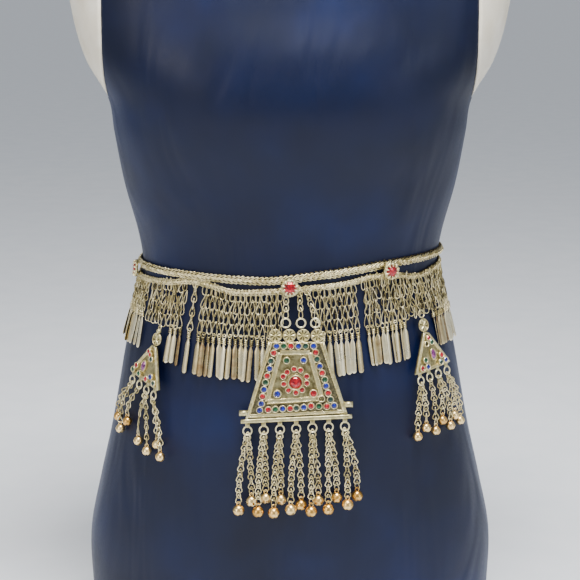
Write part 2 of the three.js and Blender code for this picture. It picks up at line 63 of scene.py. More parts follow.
# Angle, height of the upper braid and of the lower one.
BRAIDS = np.array([
    [-180, 333, 327], [-150, 331, 321], [-83, 328, 317], [-52, 328, 319], [-38, 328, 322.8], [-29, 327.4, 320.4],
    [-20, 327, 316.5], [-7, 327, 318], [6, 330, 320.4], [20, 333.2, 323.3], [32, 336, 327.4], [42, 337.8, 327],
    [55, 338.3, 323.4], [72, 338.6, 326.3], [95, 338.4, 328], [150, 335, 327], [180, 333, 327],
])
UPPER, LOWER = 1, 2
BRAID_RADIUS = {UPPER: 2.3, LOWER: 1.8}
BRAID_CLEAR = 0.8
STRETCHES = {"left": (-173.6, -0.3), "front": (0.3, 38.5), "right": (39.1, 173.6)}

STUDS = {"stud_left": (-83, 321.5), "stud_centre": (0, 321.8), "stud_right": (38.8, 332.1)}
STUD_OUT = 5.8

# Link curtains: angles at their two ends, height of the lower edge at each, and how tangled they hang.
NETS = {
    "net_side_left": (-150, -64, 290, 292, 1.0),
    "net_hip_left": (-62, -40, 283, 284, 1.5),
    "net_front_left": (-33.5, -2.6, 281, 281, 0.8),
    "net_front_right": (8.5, 24.5, 284, 286, 0.9),
    "net_hip_right": (26.5, 60, 287, 292, 1.6),
    "net_side_right": (60.4, 150, 292, 290, 1.2),
}
LINK_PITCH = 4.4
LINK_ROWS = 4

# Leaf fringes: angles at their two ends, and the height of the blades' tips at each.
LEAVES = {
    "side_left": (-150, -64, 259, 260),
    "hip_left": (-46.5, -40, 254, 252),
    "front_left": (-33.5, -6, 247, 245),
    "front_right": (9, 24.5, 249, 251),
    "hip_right": (26.5, 45, 255, 257),
    "side_right": (61, 150, 261, 259),
}
STRAND_ANGLE = -36.6
STRAND_LOW = 248
CARRYING_STRANDS = {"strand_centre_1": (-3, -3.4), "strand_centre_2": (7.4, 8.8), "strand_centre_3": (13, 20.3)}

# The centre pendant's own axes: x to the right, y up along the plate, z out of its face.
CENTRE_ORIGIN = np.array([5.0, -103.0, 279.0])
CENTRE_LEAN = 6.3
PLATE_CORNERS = np.array([[-22.4, 0], [-41, -62], [41.4, -58], [22.4, 0]])
PLATE_THICK = 2.0
PLATE_MID = 1.65
BAR_RADIUS = 1.7
BAR_OVER = 3.6
LOOP_RADIUS = 3.5
TASSEL_PITCH = 13.1
TASSEL_DROP = 6.0

# Bells of the centre tassels: tassel, x, z, and how far off the form.
CENTRE_BELLS = np.array([
    [-3, -39.9, 141.5, 12.4], [-3, -30.6, 147.5, 6], [-2, -24.6, 141.5, 14], [-2, -19.3, 150.5, 6],
    [-1, -12.6, 140.5, 12.8], [-1, -7.2, 149.5, 5.8], [0, 0.6, 143.5, 13], [0, 8.9, 145, 5.8],
    [1, 16.4, 141.5, 12.4], [1, 22.6, 148.5, 5.8], [2, 29.6, 143, 12.6], [2, 37.2, 150.5, 6],
    [3, 44.6, 146, 12.4], [3, 53.4, 151, 6.6],
])
CENTRE_BELL = 4.7

# Hip pendants: angle, height, off the form, roll and yaw of the plate's top; bells by tassel, angle, z and out.
HIPS = {
    "left": {
        "place": (-50.5, 266, 3.6, -9, -8),
        "bells": [
            (0, -68, 199, 5), (0, -64.5, 190, 5.2), (1, -60.5, 198.5, 5), (2, -52.5, 185.5, 5),
            (2, -47.6, 179, 5.2), (3, -43.6, 186.5, 5), (3, -40.6, 178, 9),
        ],
    },
    "right": {
        "place": (52, 277, 3.6, 1, 0),
        "bells": [
            (0, 41.8, 194, 5), (0, 45.4, 200.5, 6.6), (1, 50.2, 195.5, 5), (2, 54.4, 202.5, 5),
            (2, 58.4, 196, 5.4), (3, 62.2, 203, 5), (3, 66, 196.5, 5),
        ],
    },
}
TRIANGLE_CORNERS = np.array([[-2.5, 0], [-21.5, -31], [21.5, -31], [2.5, 0]])
HIP_BELL = 4.0


# ---- Arithmetic of shapes ----


def unit(vectors):
    """Vectors scaled to length 1."""
    return vectors / np.linalg.norm(vectors, axis=-1, keepdims=True)


def smooth(table, at, column):
    """A Hermite curve through one column of a table by its first; each slope is the chord of the neighbours."""
    x, y = table[:, 0].astype(float), table[:, column].astype(float)
    before = np.maximum(np.arange(len(x)) - 1, 0)
    after = np.minimum(np.arange(len(x)) + 1, len(x) - 1)
    slope = (y[after] - y[before]) / (x[after] - x[before])
    at = np.clip(at, x[0], x[-1])
    i = np.clip(np.searchsorted(x, at, side="right") - 1, 0, len(x) - 2)
    span = x[i + 1] - x[i]
    t = (at - x[i]) / span
    start = (2 * t**3 - 3 * t**2 + 1) * y[i] + (t**3 - 2 * t**2 + t) * span * slope[i]
    return start + (3 * t**2 - 2 * t**3) * y[i + 1] + (t**3 - t**2) * span * slope[i + 1]


def signed_power(value, power):
    """The power of a number's size, with its sign kept."""
    return np.sign(value) * np.abs(value) ** power


def form_point(angle, z, out=0.0):
    """The form's skin: x = half sin^(2/n), y = -depth cos^(2/n), moved along the section's normal by out."""
    angle, z, out = np.broadcast_arrays(np.asarray(angle, float), z, out)
    turn_by = np.radians(angle)
    half = smooth(FORM_LEVELS, z, HALF)
    ahead = np.cos(turn_by)
    depth = np.where(ahead >= 0, smooth(FORM_LEVELS, z, FRONT), smooth(FORM_LEVELS, z, BACK))
    square = smooth(FORM_LEVELS, z, SQUARE)
    across = signed_power(np.sin(turn_by), 2 / square)
    ahead = signed_power(ahead, 2 / square)
    normal = np.stack([signed_power(across, square - 1) / half, -signed_power(ahead, square - 1) / depth], -1)
    normal = unit(normal)
    return np.stack([half * across + out * normal[..., 0], -depth * ahead + out * normal[..., 1], z], -1)


def turned_by(axis, degrees):
    """Rotation matrices about one axis: 0 is x, 1 is y and 2 is z."""
    angle = np.radians(np.asarray(degrees, float))
    i, j = (axis + 1) % 3, (axis + 2) % 3
    matrix = np.zeros(angle.shape + (3, 3))
    matrix[..., axis, axis] = 1
    matrix[..., i, i] = matrix[..., j, j] = np.cos(angle)
    matrix[..., j, i] = np.sin(angle)
    matrix[..., i, j] = -np.sin(angle)
    return matrix


def on_form(angle, z, out, roll=0.0, yaw=0.0):
    """Axes and origins on the form: x right along it, y up its slope, z out of it, turned by yaw and then roll."""
    up = unit(form_point(angle, z + 2) - form_point(angle, z - 2))
    ahead = form_point(angle + 1, z) - form_point(angle - 1, z)
    right = unit(ahead - np.sum(ahead * up, axis=-1, keepdims=True) * up)
    outward = np.cross(right, up)
    axes = np.stack([right, up, outward], -1) @ turned_by(1, yaw) @ turned_by(2, roll)
    return axes, form_point(angle, z) + outward * np.asarray(out)[..., None]


def braid_height(which, angle):
    """Height of a braid's middle at an angle round the form."""
    return smooth(BRAIDS, angle, which)


class Shape:
    """Points in millimetres, and faces of four corners, where -1 as the fourth corner makes a triangle.

    Each face has the number of its finish, and each point a tint from 0 for dull to 1 for bright; low tints on links
    behind others are painted shade.
    """

    def __init__(self, points, faces, finish=0, tint=0.5):
        self.points = np.asarray(points, float).reshape(-1, 3)
        self.faces = np.asarray(faces, int).reshape(-1, 4)
        self.finish = np.broadcast_to(finish, len(self.faces)).astype(int)
        self.tint = np.broadcast_to(tint, len(self.points)).astype(float)


def joined(shapes):
    """Several shapes as one."""
    starts = np.cumsum([0] + [len(part.points) for part in shapes[:-1]])
    faces = [np.where(part.faces < 0, -1, part.faces + start) for part, start in zip(shapes, starts)]
    points = np.concatenate([part.points for part in shapes])
    finish = np.concatenate([part.finish for part in shapes])
    return Shape(points, np.concatenate(faces), finish, np.concatenate([part.tint for part in shapes]))


def placed(part, axes, origins, tint=None):
    """Copies of a shape: each point is the origin plus the axes applied to the shape's own point."""
    origins = np.asarray(origins, float).reshape(-1, 3)
    count = len(origins)
    axes = np.broadcast_to(np.asarray(axes, float).reshape(-1, 3, 3), (count, 3, 3))
    points = np.einsum("nij,kj->nki", axes, part.points) + origins[:, None]
    starts = np.arange(count)[:, None, None] * len(part.points)
    faces = np.where(part.faces < 0, -1, part.faces + starts)
    if tint is None:
        tints = np.tile(part.tint, count)
    else:
        tints = np.repeat(np.broadcast_to(tint, count), len(part.points))
    return Shape(points, faces, np.tile(part.finish, count), tints)


def grid_faces(rows, columns, closed_rows=False, closed_columns=False):
    """Quads over points numbered row by row. They face along (next column) × (next row)."""
    r = np.arange(rows if closed_rows else rows - 1)[:, None]
    c = np.arange(columns if closed_columns else columns - 1)[None]
    below = (r + 1) % rows
    beside = (c + 1) % columns
    corners = [r * columns + c, r * columns + beside, below * columns + beside, below * columns + c]
    return np.stack(np.broadcast_arrays(*corners), -1).reshape(-1, 4)


def fan(ring, pole, with_ring):
    """Triangles from a pole to a ring of point numbers, turning with the ring or against it."""
    ahead = np.roll(ring, -1)
    pair = (ring, ahead) if with_ring else (ahead, ring)
    return np.stack([np.full(len(ring), pole), *pair, np.full(len(ring), -1)], -1)


def lofted(rings, closed=False, finish=0, poles=None):
    """Rings of points, with their columns turning, joined in order; each open end closes on a pole."""
    rows, columns = rings.shape[:2]
    points = rings.reshape(-1, 3)
    faces = [grid_faces(rows, columns, closed, True)]
    if not closed:
        ends = [rings[0].mean(0), rings[-1].mean(0)] if poles is None else poles
        points = np.concatenate([points, ends])
        count = rows * columns
        faces.append(fan(np.arange(columns), count, False))
        faces.append(fan(np.arange(count - columns, count), count + 1, True))
    return Shape(points, np.concatenate(faces), finish)


def round_section(sides, power=2.0):
    """Points of a superellipse of half size 1: cos^(2/n), sin^(2/n)."""
    angle = 2 * np.pi * (np.arange(sides) + 0.5) / sides
    return np.stack([signed_power(np.cos(angle), 2 / power), signed_power(np.sin(angle), 2 / power)], -1)


def tube(path, radius, sides=8, closed=False, across=(0, 0, 1), section=None, finish=0):
    """A section carried along a path: point = path + radius (p n + q b).

    n is `across` made square to the path, and b is the path's direction × n.
    """
    path = np.asarray(path, float)
    tangent = np.roll(path, -1, 0) - np.roll(path, 1, 0) if closed else np.gradient(path, axis=0)
    tangent = unit(tangent)
    across = np.asarray(across, float)
    normal = unit(across - (tangent @ across)[:, None] * tangent)
    beside = np.cross(tangent, normal)
    section = round_section(sides) if section is None else section
    radius = np.asarray(radius, float)
    if radius.ndim == 1:
        radius = radius[:, None]
    radius = np.broadcast_to(radius, (len(path), len(section)))[..., None]
    offset = section[None, :, :1] * normal[:, None] + section[None, :, 1:] * beside[:, None]
    return lofted(path[:, None] + radius * offset, closed, finish)


def evenly(path, step, closed=False):
    """Points of a path spaced evenly by about `step`, and the distance of each along it."""
    path = np.asarray(path, float)
    if closed:
        path = np.concatenate([path, path[:1]])
    length = np.concatenate([[0], np.cumsum(np.linalg.norm(np.diff(path, axis=0), axis=1))])
    count = max(int(round(length[-1] / step)), 2)
    at = np.linspace(0, length[-1], count + 1)[: count + (not closed)]
    return np.stack([np.interp(at, length, path[:, i]) for i in range(3)], 1), at


def curve(points, count=40):
    """A smooth curve through a few points."""
    table = np.column_stack([np.arange(len(points)), np.asarray(points, float)])
    at = np.linspace(0, len(points) - 1, count)
    return np.stack([smooth(table, at, column) for column in (1, 2, 3)], 1)


def ridged_wire(path, radius, pitch, lobes=0, depth=0.24, sides=8, closed=False, across=(0, 0, 1), finish=0):
    """A wire whose ridges turn along it: r = radius (1 + depth cos(lobes φ - 2π s / pitch)).

    Two lobes give a pair of wires twisted together, and none gives a row of beads.
    """
    points, at = evenly(path, pitch / 5, closed)
    angle = 2 * np.pi * (np.arange(sides) + 0.5) / sides
    ridges = 1 + depth * np.cos(lobes * angle[None] - 2 * np.pi * at[:, None] / pitch)
    return tube(points, radius * ridges, sides, closed, across, finish=finish)


def circle(radius, count, lift=0.0):
    """Points round a circle: (radius cos a, radius sin a, lift)."""
    angle = 2 * np.pi * np.arange(count) / count
    return np.stack([radius * np.cos(angle), radius * np.sin(angle), np.full(count, lift)], 1)


def ring(radius, wire, count=20, sides=8, centre=(0, 0, 0), finish=0):
    """A ring of round wire in the x-y plane: its middle line is a circle."""
    return tube(circle(radius, count) + centre, wire, sides, True, finish=finish)


def turned(profile, sides, closed=False, finish=0, relief=None):
    """A profile of radius and height carried round the z axis; relief(radius, angle, height) reshapes it."""
    profile = np.asarray(profile, float)
    angle = 2 * np.pi * np.arange(sides)[None] / sides
    radius = np.repeat(profile[:, :1], sides, 1)
    height = np.repeat(profile[:, 1:], sides, 1)
    if relief is not None:
        radius, height = relief(radius, angle, height)
    return lofted(np.stack([radius * np.cos(angle), radius * np.sin(angle), height], -1), closed, finish)


def slab(corners, thick, edge=0.4, lift=0.0, finish=0):
    """A flat plate on a convex outline: the outline drawn in towards its middle at the lower and upper edge."""
    outline, _ = evenly(np.column_stack([corners, np.zeros(len(corners))]), 1.5, True)
    middle = outline.mean(0)
    inward = unit(middle - outline)
    levels = [(3, 0), (1, 0), (0, 1), (0, thick / edge - 1), (1, thick / edge), (3, thick / edge)]
    up = np.array([0, 0, 1.0])
    return lofted(np.stack([outline + edge * (a * inward + b * up) + lift * up for a, b in levels]), finish=finish)


# ---- Finishes ----


def linear(colour):
    """An sRGB hex colour as linear red, green, blue and alpha."""
    value = np.array([int(colour[i : i + 2], 16) for i in (1, 3, 5)]) / 255
    value = np.where(value <= 0.04045, value / 12.92, ((value + 0.055) / 1.055) ** 2.4)
    return (*value, 1.0)


def scale_of(millimetres):
    """A noise's scale for features of that size."""
    return 1000 / millimetres


def add_node(tree, kind, values=None, stops=None, **settings):
    """Adds a node: settings are its own, values go to inputs as numbers or links, stops fill a colour ramp."""
    node = tree.nodes.new(kind)
    for name, value in settings.items():
        setattr(node, name, value)
    for key, value in (values or {}).items():
        if isinstance(value, bpy.types.NodeSocket):
            tree.links.new(value, node.inputs[key])
        else:
            node.inputs[key].default_value = value
    if stops:
        ramp = node.color_ramp.elements
        while len(ramp) < len(stops):
            ramp.new(0.5)
        for element, (position, colour) in zip(ramp, stops):
            element.position = position
            element.color = linear(colour)
    return node


def new_finish(name):
    """A material with its tree, shader, and object coordinates."""
    material = bpy.data.materials.new(name)
    material.use_nodes = True
    tree = material.node_tree
    tree.nodes.clear()
    shader = add_node(tree, "ShaderNodeBsdfPrincipled")
    add_node(tree, "ShaderNodeOutputMaterial", {"Surface": shader.outputs["BSDF"]})
    place = add_node(tree, "ShaderNodeTexCoord").outputs["Object"]
    return material, tree, shader, place


def aged_metal(name, bright, dull, stain_and_shade, roughness, patch, grain=0.5, relief=0.04):
    """Worn metal: bright and dull patches, stain colours where the noise and the tint are low, and a fine hammered
    or cast grain.

    The colour goes from dull to bright by noise and by the tint of each link or blade, and the same noise
    sets how rough it is. A low tint also stands for painted shade on links behind others. Sizes are in millimetres.
    """
    material, tree, shader, place = new_finish(name)
    tint = add_node(tree, "ShaderNodeAttribute", attribute_name="tint").outputs["Fac"]
    patches = add_node(
        tree, "ShaderNodeTexNoise", {"Vector": place, "Scale": scale_of(patch), "Detail": 4.0, "Roughness": 0.6}
    )
    shade = add_node(
        tree, "ShaderNodeMath", {0: patches.outputs["Fac"], 1: tint}, operation="ADD"
    )
    halved = add_node(tree, "ShaderNodeMath", {0: shade.outputs[0], 1: 0.5}, operation="MULTIPLY")
    # Low tints reach the stain colour, which on links behind others is painted shade.
    colour = add_node(
        tree,
        "ShaderNodeValToRGB",
        {"Fac": halved.outputs[0]},
        stops=[(0.3, stain_and_shade), (0.47, dull), (0.64, bright)],
    )
    tree.links.new(colour.outputs["Color"], shader.inputs["Base Color"])
    rough = add_node(
        tree,
        "ShaderNodeMapRange",
        {"Value": patches.outputs["Fac"], 1: 0.3, 2: 0.7, 3: roughness[1], 4: roughness[0]},
    )
    tree.links.new(rough.outputs["Result"], shader.inputs["Roughness"])
    fine = add_node(tree, "ShaderNodeTexNoise", {"Vector": place, "Scale": scale_of(grain), "Detail": 3.0})
    bump = add_node(
        tree, "ShaderNodeBump", {"Height": fine.outputs["Fac"], "Strength": 0.6, "Distance": relief * METRES}
    )
    tree.links.new(bump.outputs["Normal"], shader.inputs["Normal"])
    shader.inputs["Metallic"].default_value = 1.0
    return material


def navy_satin():
    """Polyester duchess satin: long warp floats give a soft glow across the dark blue, and faint hanging creases."""
    material, tree, shader, place = new_finish("navy duchess satin, woven polyester")
    drape = add_node(tree, "ShaderNodeMapping", {"Vector": place, "Scale": (1.0, 1.0, 0.3)})
    creases = add_node(
        tree,
        "ShaderNodeTexNoise",
        {"Vector": drape.outputs[0], "Scale": scale_of(55), "Detail": 2.0, "Distortion": 0.8},
    )
    # Warp floats are about 0.1 mm wide, too fine to show, so they are drawn 0.5 mm wide and 4 mm long.
    warp = add_node(tree, "ShaderNodeMapping", {"Vector": place, "Scale": (1.0, 1.0, 0.12)})
    floats = add_node(
        tree, "ShaderNodeTexNoise", {"Vector": warp.outputs[0], "Scale": scale_of(0.5), "Detail": 2.0}
    )
    patches = add_node(tree, "ShaderNodeTexNoise", {"Vector": place, "Scale": scale_of(110), "Detail": 3.0})
    colour = add_node(
        tree,
        "ShaderNodeValToRGB",
        {"Fac": patches.outputs["Fac"]},
        stops=[(0.35, "#020922"), (0.55, "#040f2f"), (0.72, "#061740")],
    )
    tree.links.new(colour.outputs["Color"], shader.inputs["Base Color"])
    rough = add_node(
        tree, "ShaderNodeMapRange", {"Value": floats.outputs["Fac"], 1: 0.3, 2: 0.7, 3: 0.38, 4: 0.5}
    )
    tree.links.new(rough.outputs["Result"], shader.inputs["Roughness"])
    soft = add_node(
        tree, "ShaderNodeBump", {"Height": creases.outputs["Fac"], "Strength": 0.5, "Distance": 9 * METRES}
    )
    weave = add_node(
        tree,
        "ShaderNodeBump",
        {"Height": floats.outputs["Fac"], "Strength": 0.35, "Distance": 0.05 * METRES, "Normal": soft.outputs[0]},
    )
    tree.links.new(weave.outputs["Normal"], shader.inputs["Normal"])
    shader.inputs["IOR"].default_value = 1.5
    shader.inputs["Specular IOR Level"].default_value = 0.26
    shader.inputs["Sheen Weight"].default_value = 0.06
    shader.inputs["Sheen Roughness"].default_value = 0.35
    shader.inputs["Sheen Tint"].default_value = linear("#7f9be0")
    return material


def cream_cap():
    """Moulded polystyrene: a soft eggshell gloss with faint mottling from the mould."""
    material, tree, shader, place = new_finish("cream moulded polystyrene")
    mottle = add_node(tree, "ShaderNodeTexNoise", {"Vector": place, "Scale": scale_of(25), "Detail": 4.0})
    colour = add_node(
        tree, "ShaderNodeValToRGB", {"Fac": mottle.outputs["Fac"]}, stops=[(0.35, "#ddd3bd"), (0.65, "#ebe4d3")]
    )
    tree.links.new(colour.outputs["Color"], shader.inputs["Base Color"])
    peel = add_node(tree, "ShaderNodeTexNoise", {"Vector": place, "Scale": scale_of(1.5), "Detail": 2.0})
    bump = add_node(
        tree, "ShaderNodeBump", {"Height": peel.outputs["Fac"], "Strength": 0.3, "Distance": 0.08 * METRES}
    )
    tree.links.new(bump.outputs["Normal"], shader.inputs["Normal"])
    shader.inputs["Roughness"].default_value = 0.45
    shader.inputs["IOR"].default_value = 1.59
    return material


def cut_glass(name, deep, light):
    """Moulded glass over foil: the colour goes from deep to light by noise, the lighter patches a painted reflection
    of the foil behind the glass.
    """
    material, tree, shader, place = new_finish(name)
    cloud = add_node(tree, "ShaderNodeTexNoise", {"Vector": place, "Scale": scale_of(1.6), "Detail": 2.0})
    colour = add_node(
        tree, "ShaderNodeValToRGB", {"Fac": cloud.outputs["Fac"]}, stops=[(0.4, deep), (0.62, light)]
    )
    tree.links.new(colour.outputs["Color"], shader.inputs["Base Color"])
    shader.inputs["Roughness"].default_value = 0.12
    shader.inputs["IOR"].default_value = 1.52
    shader.inputs["Metallic"].default_value = 0.5
    shader.inputs["Coat Weight"].default_value = 1.0
    shader.inputs["Coat Roughness"].default_value = 0.04
    return material


SATIN = navy_satin()
CAP = cream_cap()
# Drawn nickel-silver wire, dulled by handling: yellowish grey, brighter and duller by noise and by each link's tint,
# which is lowered as painted shade on links behind others.
WIRE = aged_metal("drawn nickel silver wire, tarnished", "#fbeec0", "#cfbf88", "#564b2e", (0.22, 0.45), 3.0)
# Cast plates and strips, with a pale yellow-green cast where the tarnish was rubbed off.
CAST = aged_metal("cast nickel silver, rubbed", "#f0e7ba", "#bdb282", "#665c3b", (0.28, 0.5), 4.0, 0.7, 0.08)
# The recesses are blackened: partly real tarnish, partly painted shade.
GROUND_AND_SHADE = aged_metal("nickel silver ground, blackened, with painted shade", "#a09872", "#5c5641", "#232019", (0.4, 0.65), 2.5, 0.5, 0.1)
# Blades are cut from thin rolled sheet: broad flat glints with brown and pink stains.
BLADE = aged_metal(
    "rolled nickel silver sheet, stained", "#fbf0cc", "#dccb9a", "#977a54", (0.22, 0.42), 9.0, 1.2, 0.05
)
# Bells are stamped brass worn to a warm straw colour.
BRASS = aged_metal("stamped brass, worn", "#ffdf9c", "#dfae5c", "#8a5f2c", (0.2, 0.4), 5.0, 0.8, 0.05)
# The lighter colour of each stone is painted reflection of its foil.
RED = cut_glass("red pressed glass", "#72000f", "#d4001c")
BLUE = cut_glass("blue pressed glass", "#030a4a", "#0a24bc")
GREEN = cut_glass("green pressed glass", "#022c17", "#066638")
DEEP_GREEN = cut_glass("dark green pressed glass", "#06221c", "#1b4a3c")
PURPLE = cut_glass("violet pressed glass", "#5a1e5c", "#b0569a")

JEWELLED = [CAST, GROUND_AND_SHADE, WIRE, RED, BLUE, GREEN, DEEP_GREEN, PURPLE]
IS_CAST, IS_GROUND_AND_SHADE, IS_WIRE, IS_RED, IS_BLUE, IS_GREEN, IS_DEEP, IS_PURPLE = range(8)


def make_piece(name, part, finishes, body, nodes):
    """Puts a shape into a mesh in metres, rides it on its body, and hides the frame's nodes it stands for."""
    is_quad = part.faces[:, 3] >= 0
    order = np.concatenate([np.flatnonzero(is_quad), np.flatnonzero(~is_quad)])
    faces = part.faces[is_quad].tolist() + part.faces[~is_quad, :3].tolist()
    mesh = bpy.data.meshes.new(name)
    mesh.from_pydata(part.points * METRES, [], faces)
    for finish in finishes:
        mesh.materials.append(finish)
    mesh.polygons.foreach_set("material_index", part.finish[order].astype(np.int32))
    faceted = [i for i, finish in enumerate(finishes) if "glass" in finish.name]
    mesh.polygons.foreach_set("use_smooth", ~np.isin(part.finish[order], faceted))
    tint = mesh.attributes.new("tint", "FLOAT", "POINT")
    tint.data.foreach_set("value", part.tint.astype(np.float32))
    piece = bpy.data.objects.new(name, mesh)
    bpy.context.scene.collection.objects.link(piece)
    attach(piece, body)
    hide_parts(*nodes)
    return piece


# ---- The dress form ----


def make_form():
    """The form's skin as one surface of angle and height, cut flat where the arm caps stand.

    Each cap is a nest of outlines: at a distance x from the middle, the outline is where the form's section
    reaches x, so y = depth (1 - (x / half)^n)^(1/n).
    """
    angles = np.arange(0, 360, 1.5)
    heights = np.concatenate([np.linspace(0, 640, 150), np.linspace(643, 760, 36)])
    rings = form_point(angles[None], heights[:, None])
    above = rings[..., 2] > ARMHOLE_Z
    rings[..., 0] = np.where(above, np.clip(rings[..., 0], -ARMHOLE_X, ARMHOLE_X), rings[..., 0])
    make_piece("form_cover", lofted(rings), [SATIN], "form_and_belt", ["form_torso"])
    levels = np.linspace(ARMHOLE_Z, 684, 800)
    widths = smooth(FORM_LEVELS, levels, HALF)
    widest = widths.max() - 0.3
    turn = np.linspace(0, 2 * np.pi, 72, endpoint=False)
    nest = []
    for x in widest - (widest - ARMHOLE_X - GAP) * np.linspace(0, 1, 22) ** 2:
        inside = levels[widths >= x]
        z = inside[0] + (inside[-1] - inside[0]) * (1 - np.cos(turn)) / 2
        square = smooth(FORM_LEVELS, z, SQUARE)
        reach = np.clip(1 - (x / smooth(FORM_LEVELS, z, HALF)) ** square, 0, 1) ** (1 / square)
        front = np.sin(turn) < 0
        depth = smooth(FORM_LEVELS, z, FRONT) * np.where(front, -1, 0) + smooth(FORM_LEVELS, z, BACK) * ~front
        nest.append(np.stack([np.full_like(z, x), depth * reach, z], -1))
    nest = np.array(nest)[::-1]
    for side, name in ((1, "right"), (-1, "left")):
        cap = nest * [side, 1, 1]
        cap = cap[:, ::-1] if side > 0 else cap
        node = f"arm_cap_{name}"
        make_piece(f"{node}_smooth", lofted(cap), [CAP], "form_and_belt", [node])


# ---- Wire links ----


def pear(height, bulb, neck, wire, count=14, sides=5):
    """A pear-shaped loop standing on y = 0.

    y = height (1 - cos t) / 2 and x = sin t (neck + (bulb - neck)(1 - y / height)^1.3).
    """
    t = 2 * np.pi * np.arange(count) / count
    share = (1 - np.cos(t)) / 2
    x = np.sin(t) * (neck + (bulb - neck) * (1 - share) ** 1.3)
    path = np.stack([-x, height * share, np.zeros(count)], 1)
    return tube(path, wire, sides, True)


def stretched(axes, across, along):
    """Axes with their x scaled by one number and their y by another."""
    scale = np.ones(axes.shape[:-2] + (1, 3))
    scale[..., 0, 0] = across
    scale[..., 0, 1] = along
    return axes * scale


def hung_down(path, pitch, outward, yaw):
    """Axes and origins of links down a path: y runs back up the path, z away from the form, turned by yaw."""
    points, _ = evenly(path, pitch)
    up = unit(points[:-1] - points[1:])
    right = unit(np.cross(up, outward))
    axes = np.stack([right, up, np.cross(right, up)], -1) @ turned_by(1, yaw(len(up)))
    return axes, points[1:]


NET_LINK = pear(10.5, 3.3, 0.75, 0.38)
CHAIN_LINK = pear(6.4, 3.6, 0.8, 0.42)


def spaced_round(start, end, pitch):
    """Angles spaced by about `pitch` along the form's skin, and the length between the ends."""
    angles = np.linspace(start, end, 400)
    steps = np.linalg.norm(np.diff(form_point(angles, 300, 2), axis=0), axis=1)
    length = np.concatenate([[0], np.cumsum(steps)])
    count = int(round(length[-1] / pitch))
    return np.interp((np.arange(count) + 0.5) * length[-1] / count, length, angles), length[-1]


def net_edge(name, angle):
    """Height of a curtain's lower edge at an angle."""
    start, end, low_start, low_end, _ = NETS[name]
    return low_start + (low_end - low_start) * (angle - start) / (end - start)


def make_nets():
    """Rows of pear links: each hooks through the one above, with a turned row half a step behind, painted darker as
    painted shade.
    """
    for name, (start, end, low_start, low_end, tangle) in NETS.items():
        columns, width = spaced_round(start, end, LINK_PITCH)
        half_columns = (columns[1:] + columns[:-1]) / 2
        parts = []
        for places, first, rows, yaw, off, behind in (
            (columns, 1.0, LINK_ROWS, 14, 2.5, False),
            (half_columns, 1.5, LINK_ROWS - 1, 58, 1.9, True),
        ):
            top = braid_height(LOWER, places) + 1.2
            step = (top - net_edge(name, places)) / LINK_ROWS
            row = (np.arange(rows) + first)[:, None]
            size = (rows, len(places))
            lean = chance.normal(0, 5 * tangle, size)
            angle = places + chance.normal(0, 0.18 * tangle, size)
            height = top - row * step + chance.normal(0, 0.45 * tangle, size)
            if behind:
                side = np.where((row + np.arange(len(places))) % 2 < 1, 1, -1)
                turn = yaw * side + chance.normal(0, 10, size)
            else:
                turn = chance.normal(0, yaw * tangle / 1.2, size)
            axes, origins = on_form(angle, height, off + chance.normal(0, 0.2, size), lean, turn)
            axes = stretched(axes, chance.uniform(0.9, 1.08, size), step * 1.14 / 10.5)
            # Links of the row behind are painted darker: painted shade.
            tint = chance.uniform(0.4, 0.85, size) - 0.4 * behind
            parts.append(placed(NET_LINK, axes, origins, tint.ravel()))
        piece = make_piece(f"{name}_links", joined(parts), [WIRE], "form_and_belt", [name])


def leaf_template():
    """A loop, three turns of wire round the shank, and the blade, hanging from y = 0 down to y = -36.

    The blade's half width is 2.4 (0.28 + 0.72 smoothstep(t / 0.18)) (1 + 0.1 t), rounded off at its tip;
    its section is a thin ellipse, a little crowned.
    """
    loop = placed(ring(1.95, 0.42, 10, 5), stretched(np.eye(3), 0.85, 1.15), (0, -1.0, 0))
    t = np.linspace(0, 1, 30)
    turns = 2 * np.pi * 3 * t
    coil_path = np.stack([1.3 * np.cos(turns), -2.6 - 4.6 * t, 1.3 * np.sin(turns)], 1)
    coil = tube(coil_path, 0.52, 5, across=(0, 1, 0))
    t = np.concatenate([[0], np.linspace(0.04, 0.9, 8), [0.94, 0.97, 0.99, 1.0]])
    ease = np.clip(t / 0.18, 0, 1)
    ease = ease * ease * (3 - 2 * ease)
    half = 2.4 * (0.28 + 0.72 * ease) * (1 + 0.1 * t)
    half *= np.sqrt(np.clip(1 - (np.clip(t - 0.92, 0, 1) / 0.082) ** 2, 0.02, 1))
    angle = 2 * np.pi * np.arange(8) / 8
    y = np.repeat(-6.6 - 29.4 * t[:, None], 8, 1)
    x = half[:, None] * np.cos(angle)
    z = -0.28 * np.sin(angle) + 0.35 * (1 - np.cos(angle) ** 2) * half[:, None] / 2.4
    blade = lofted(np.stack([x, y, z], -1), finish=1)
    loop.tint[:] = 0.6
    coil.tint[:] = 0.55
    return joined([loop, coil, blade])


LEAF = leaf_template()


def hang_leaves(columns, top, low, off, spread):
    """Leaf ends at the foot of each column, each leaning and turned a little its own way."""
    size = len(columns)
    lean = chance.normal(0, 2.6 * spread, size)
    turn = chance.normal(0, 16 * spread, size)
    axes, origins = on_form(columns, top + 0.6, off + chance.normal(0, 0.3, size), lean, turn)
    length = (top + 0.6 - low) / 36 * chance.uniform(0.97, 1.03, size)
    tint = np.clip(chance.normal(0.55, 0.2, size), 0.1, 1)
    return placed(LEAF, stretched(axes, chance.uniform(0.88, 1.05, size), length), origins, tint)


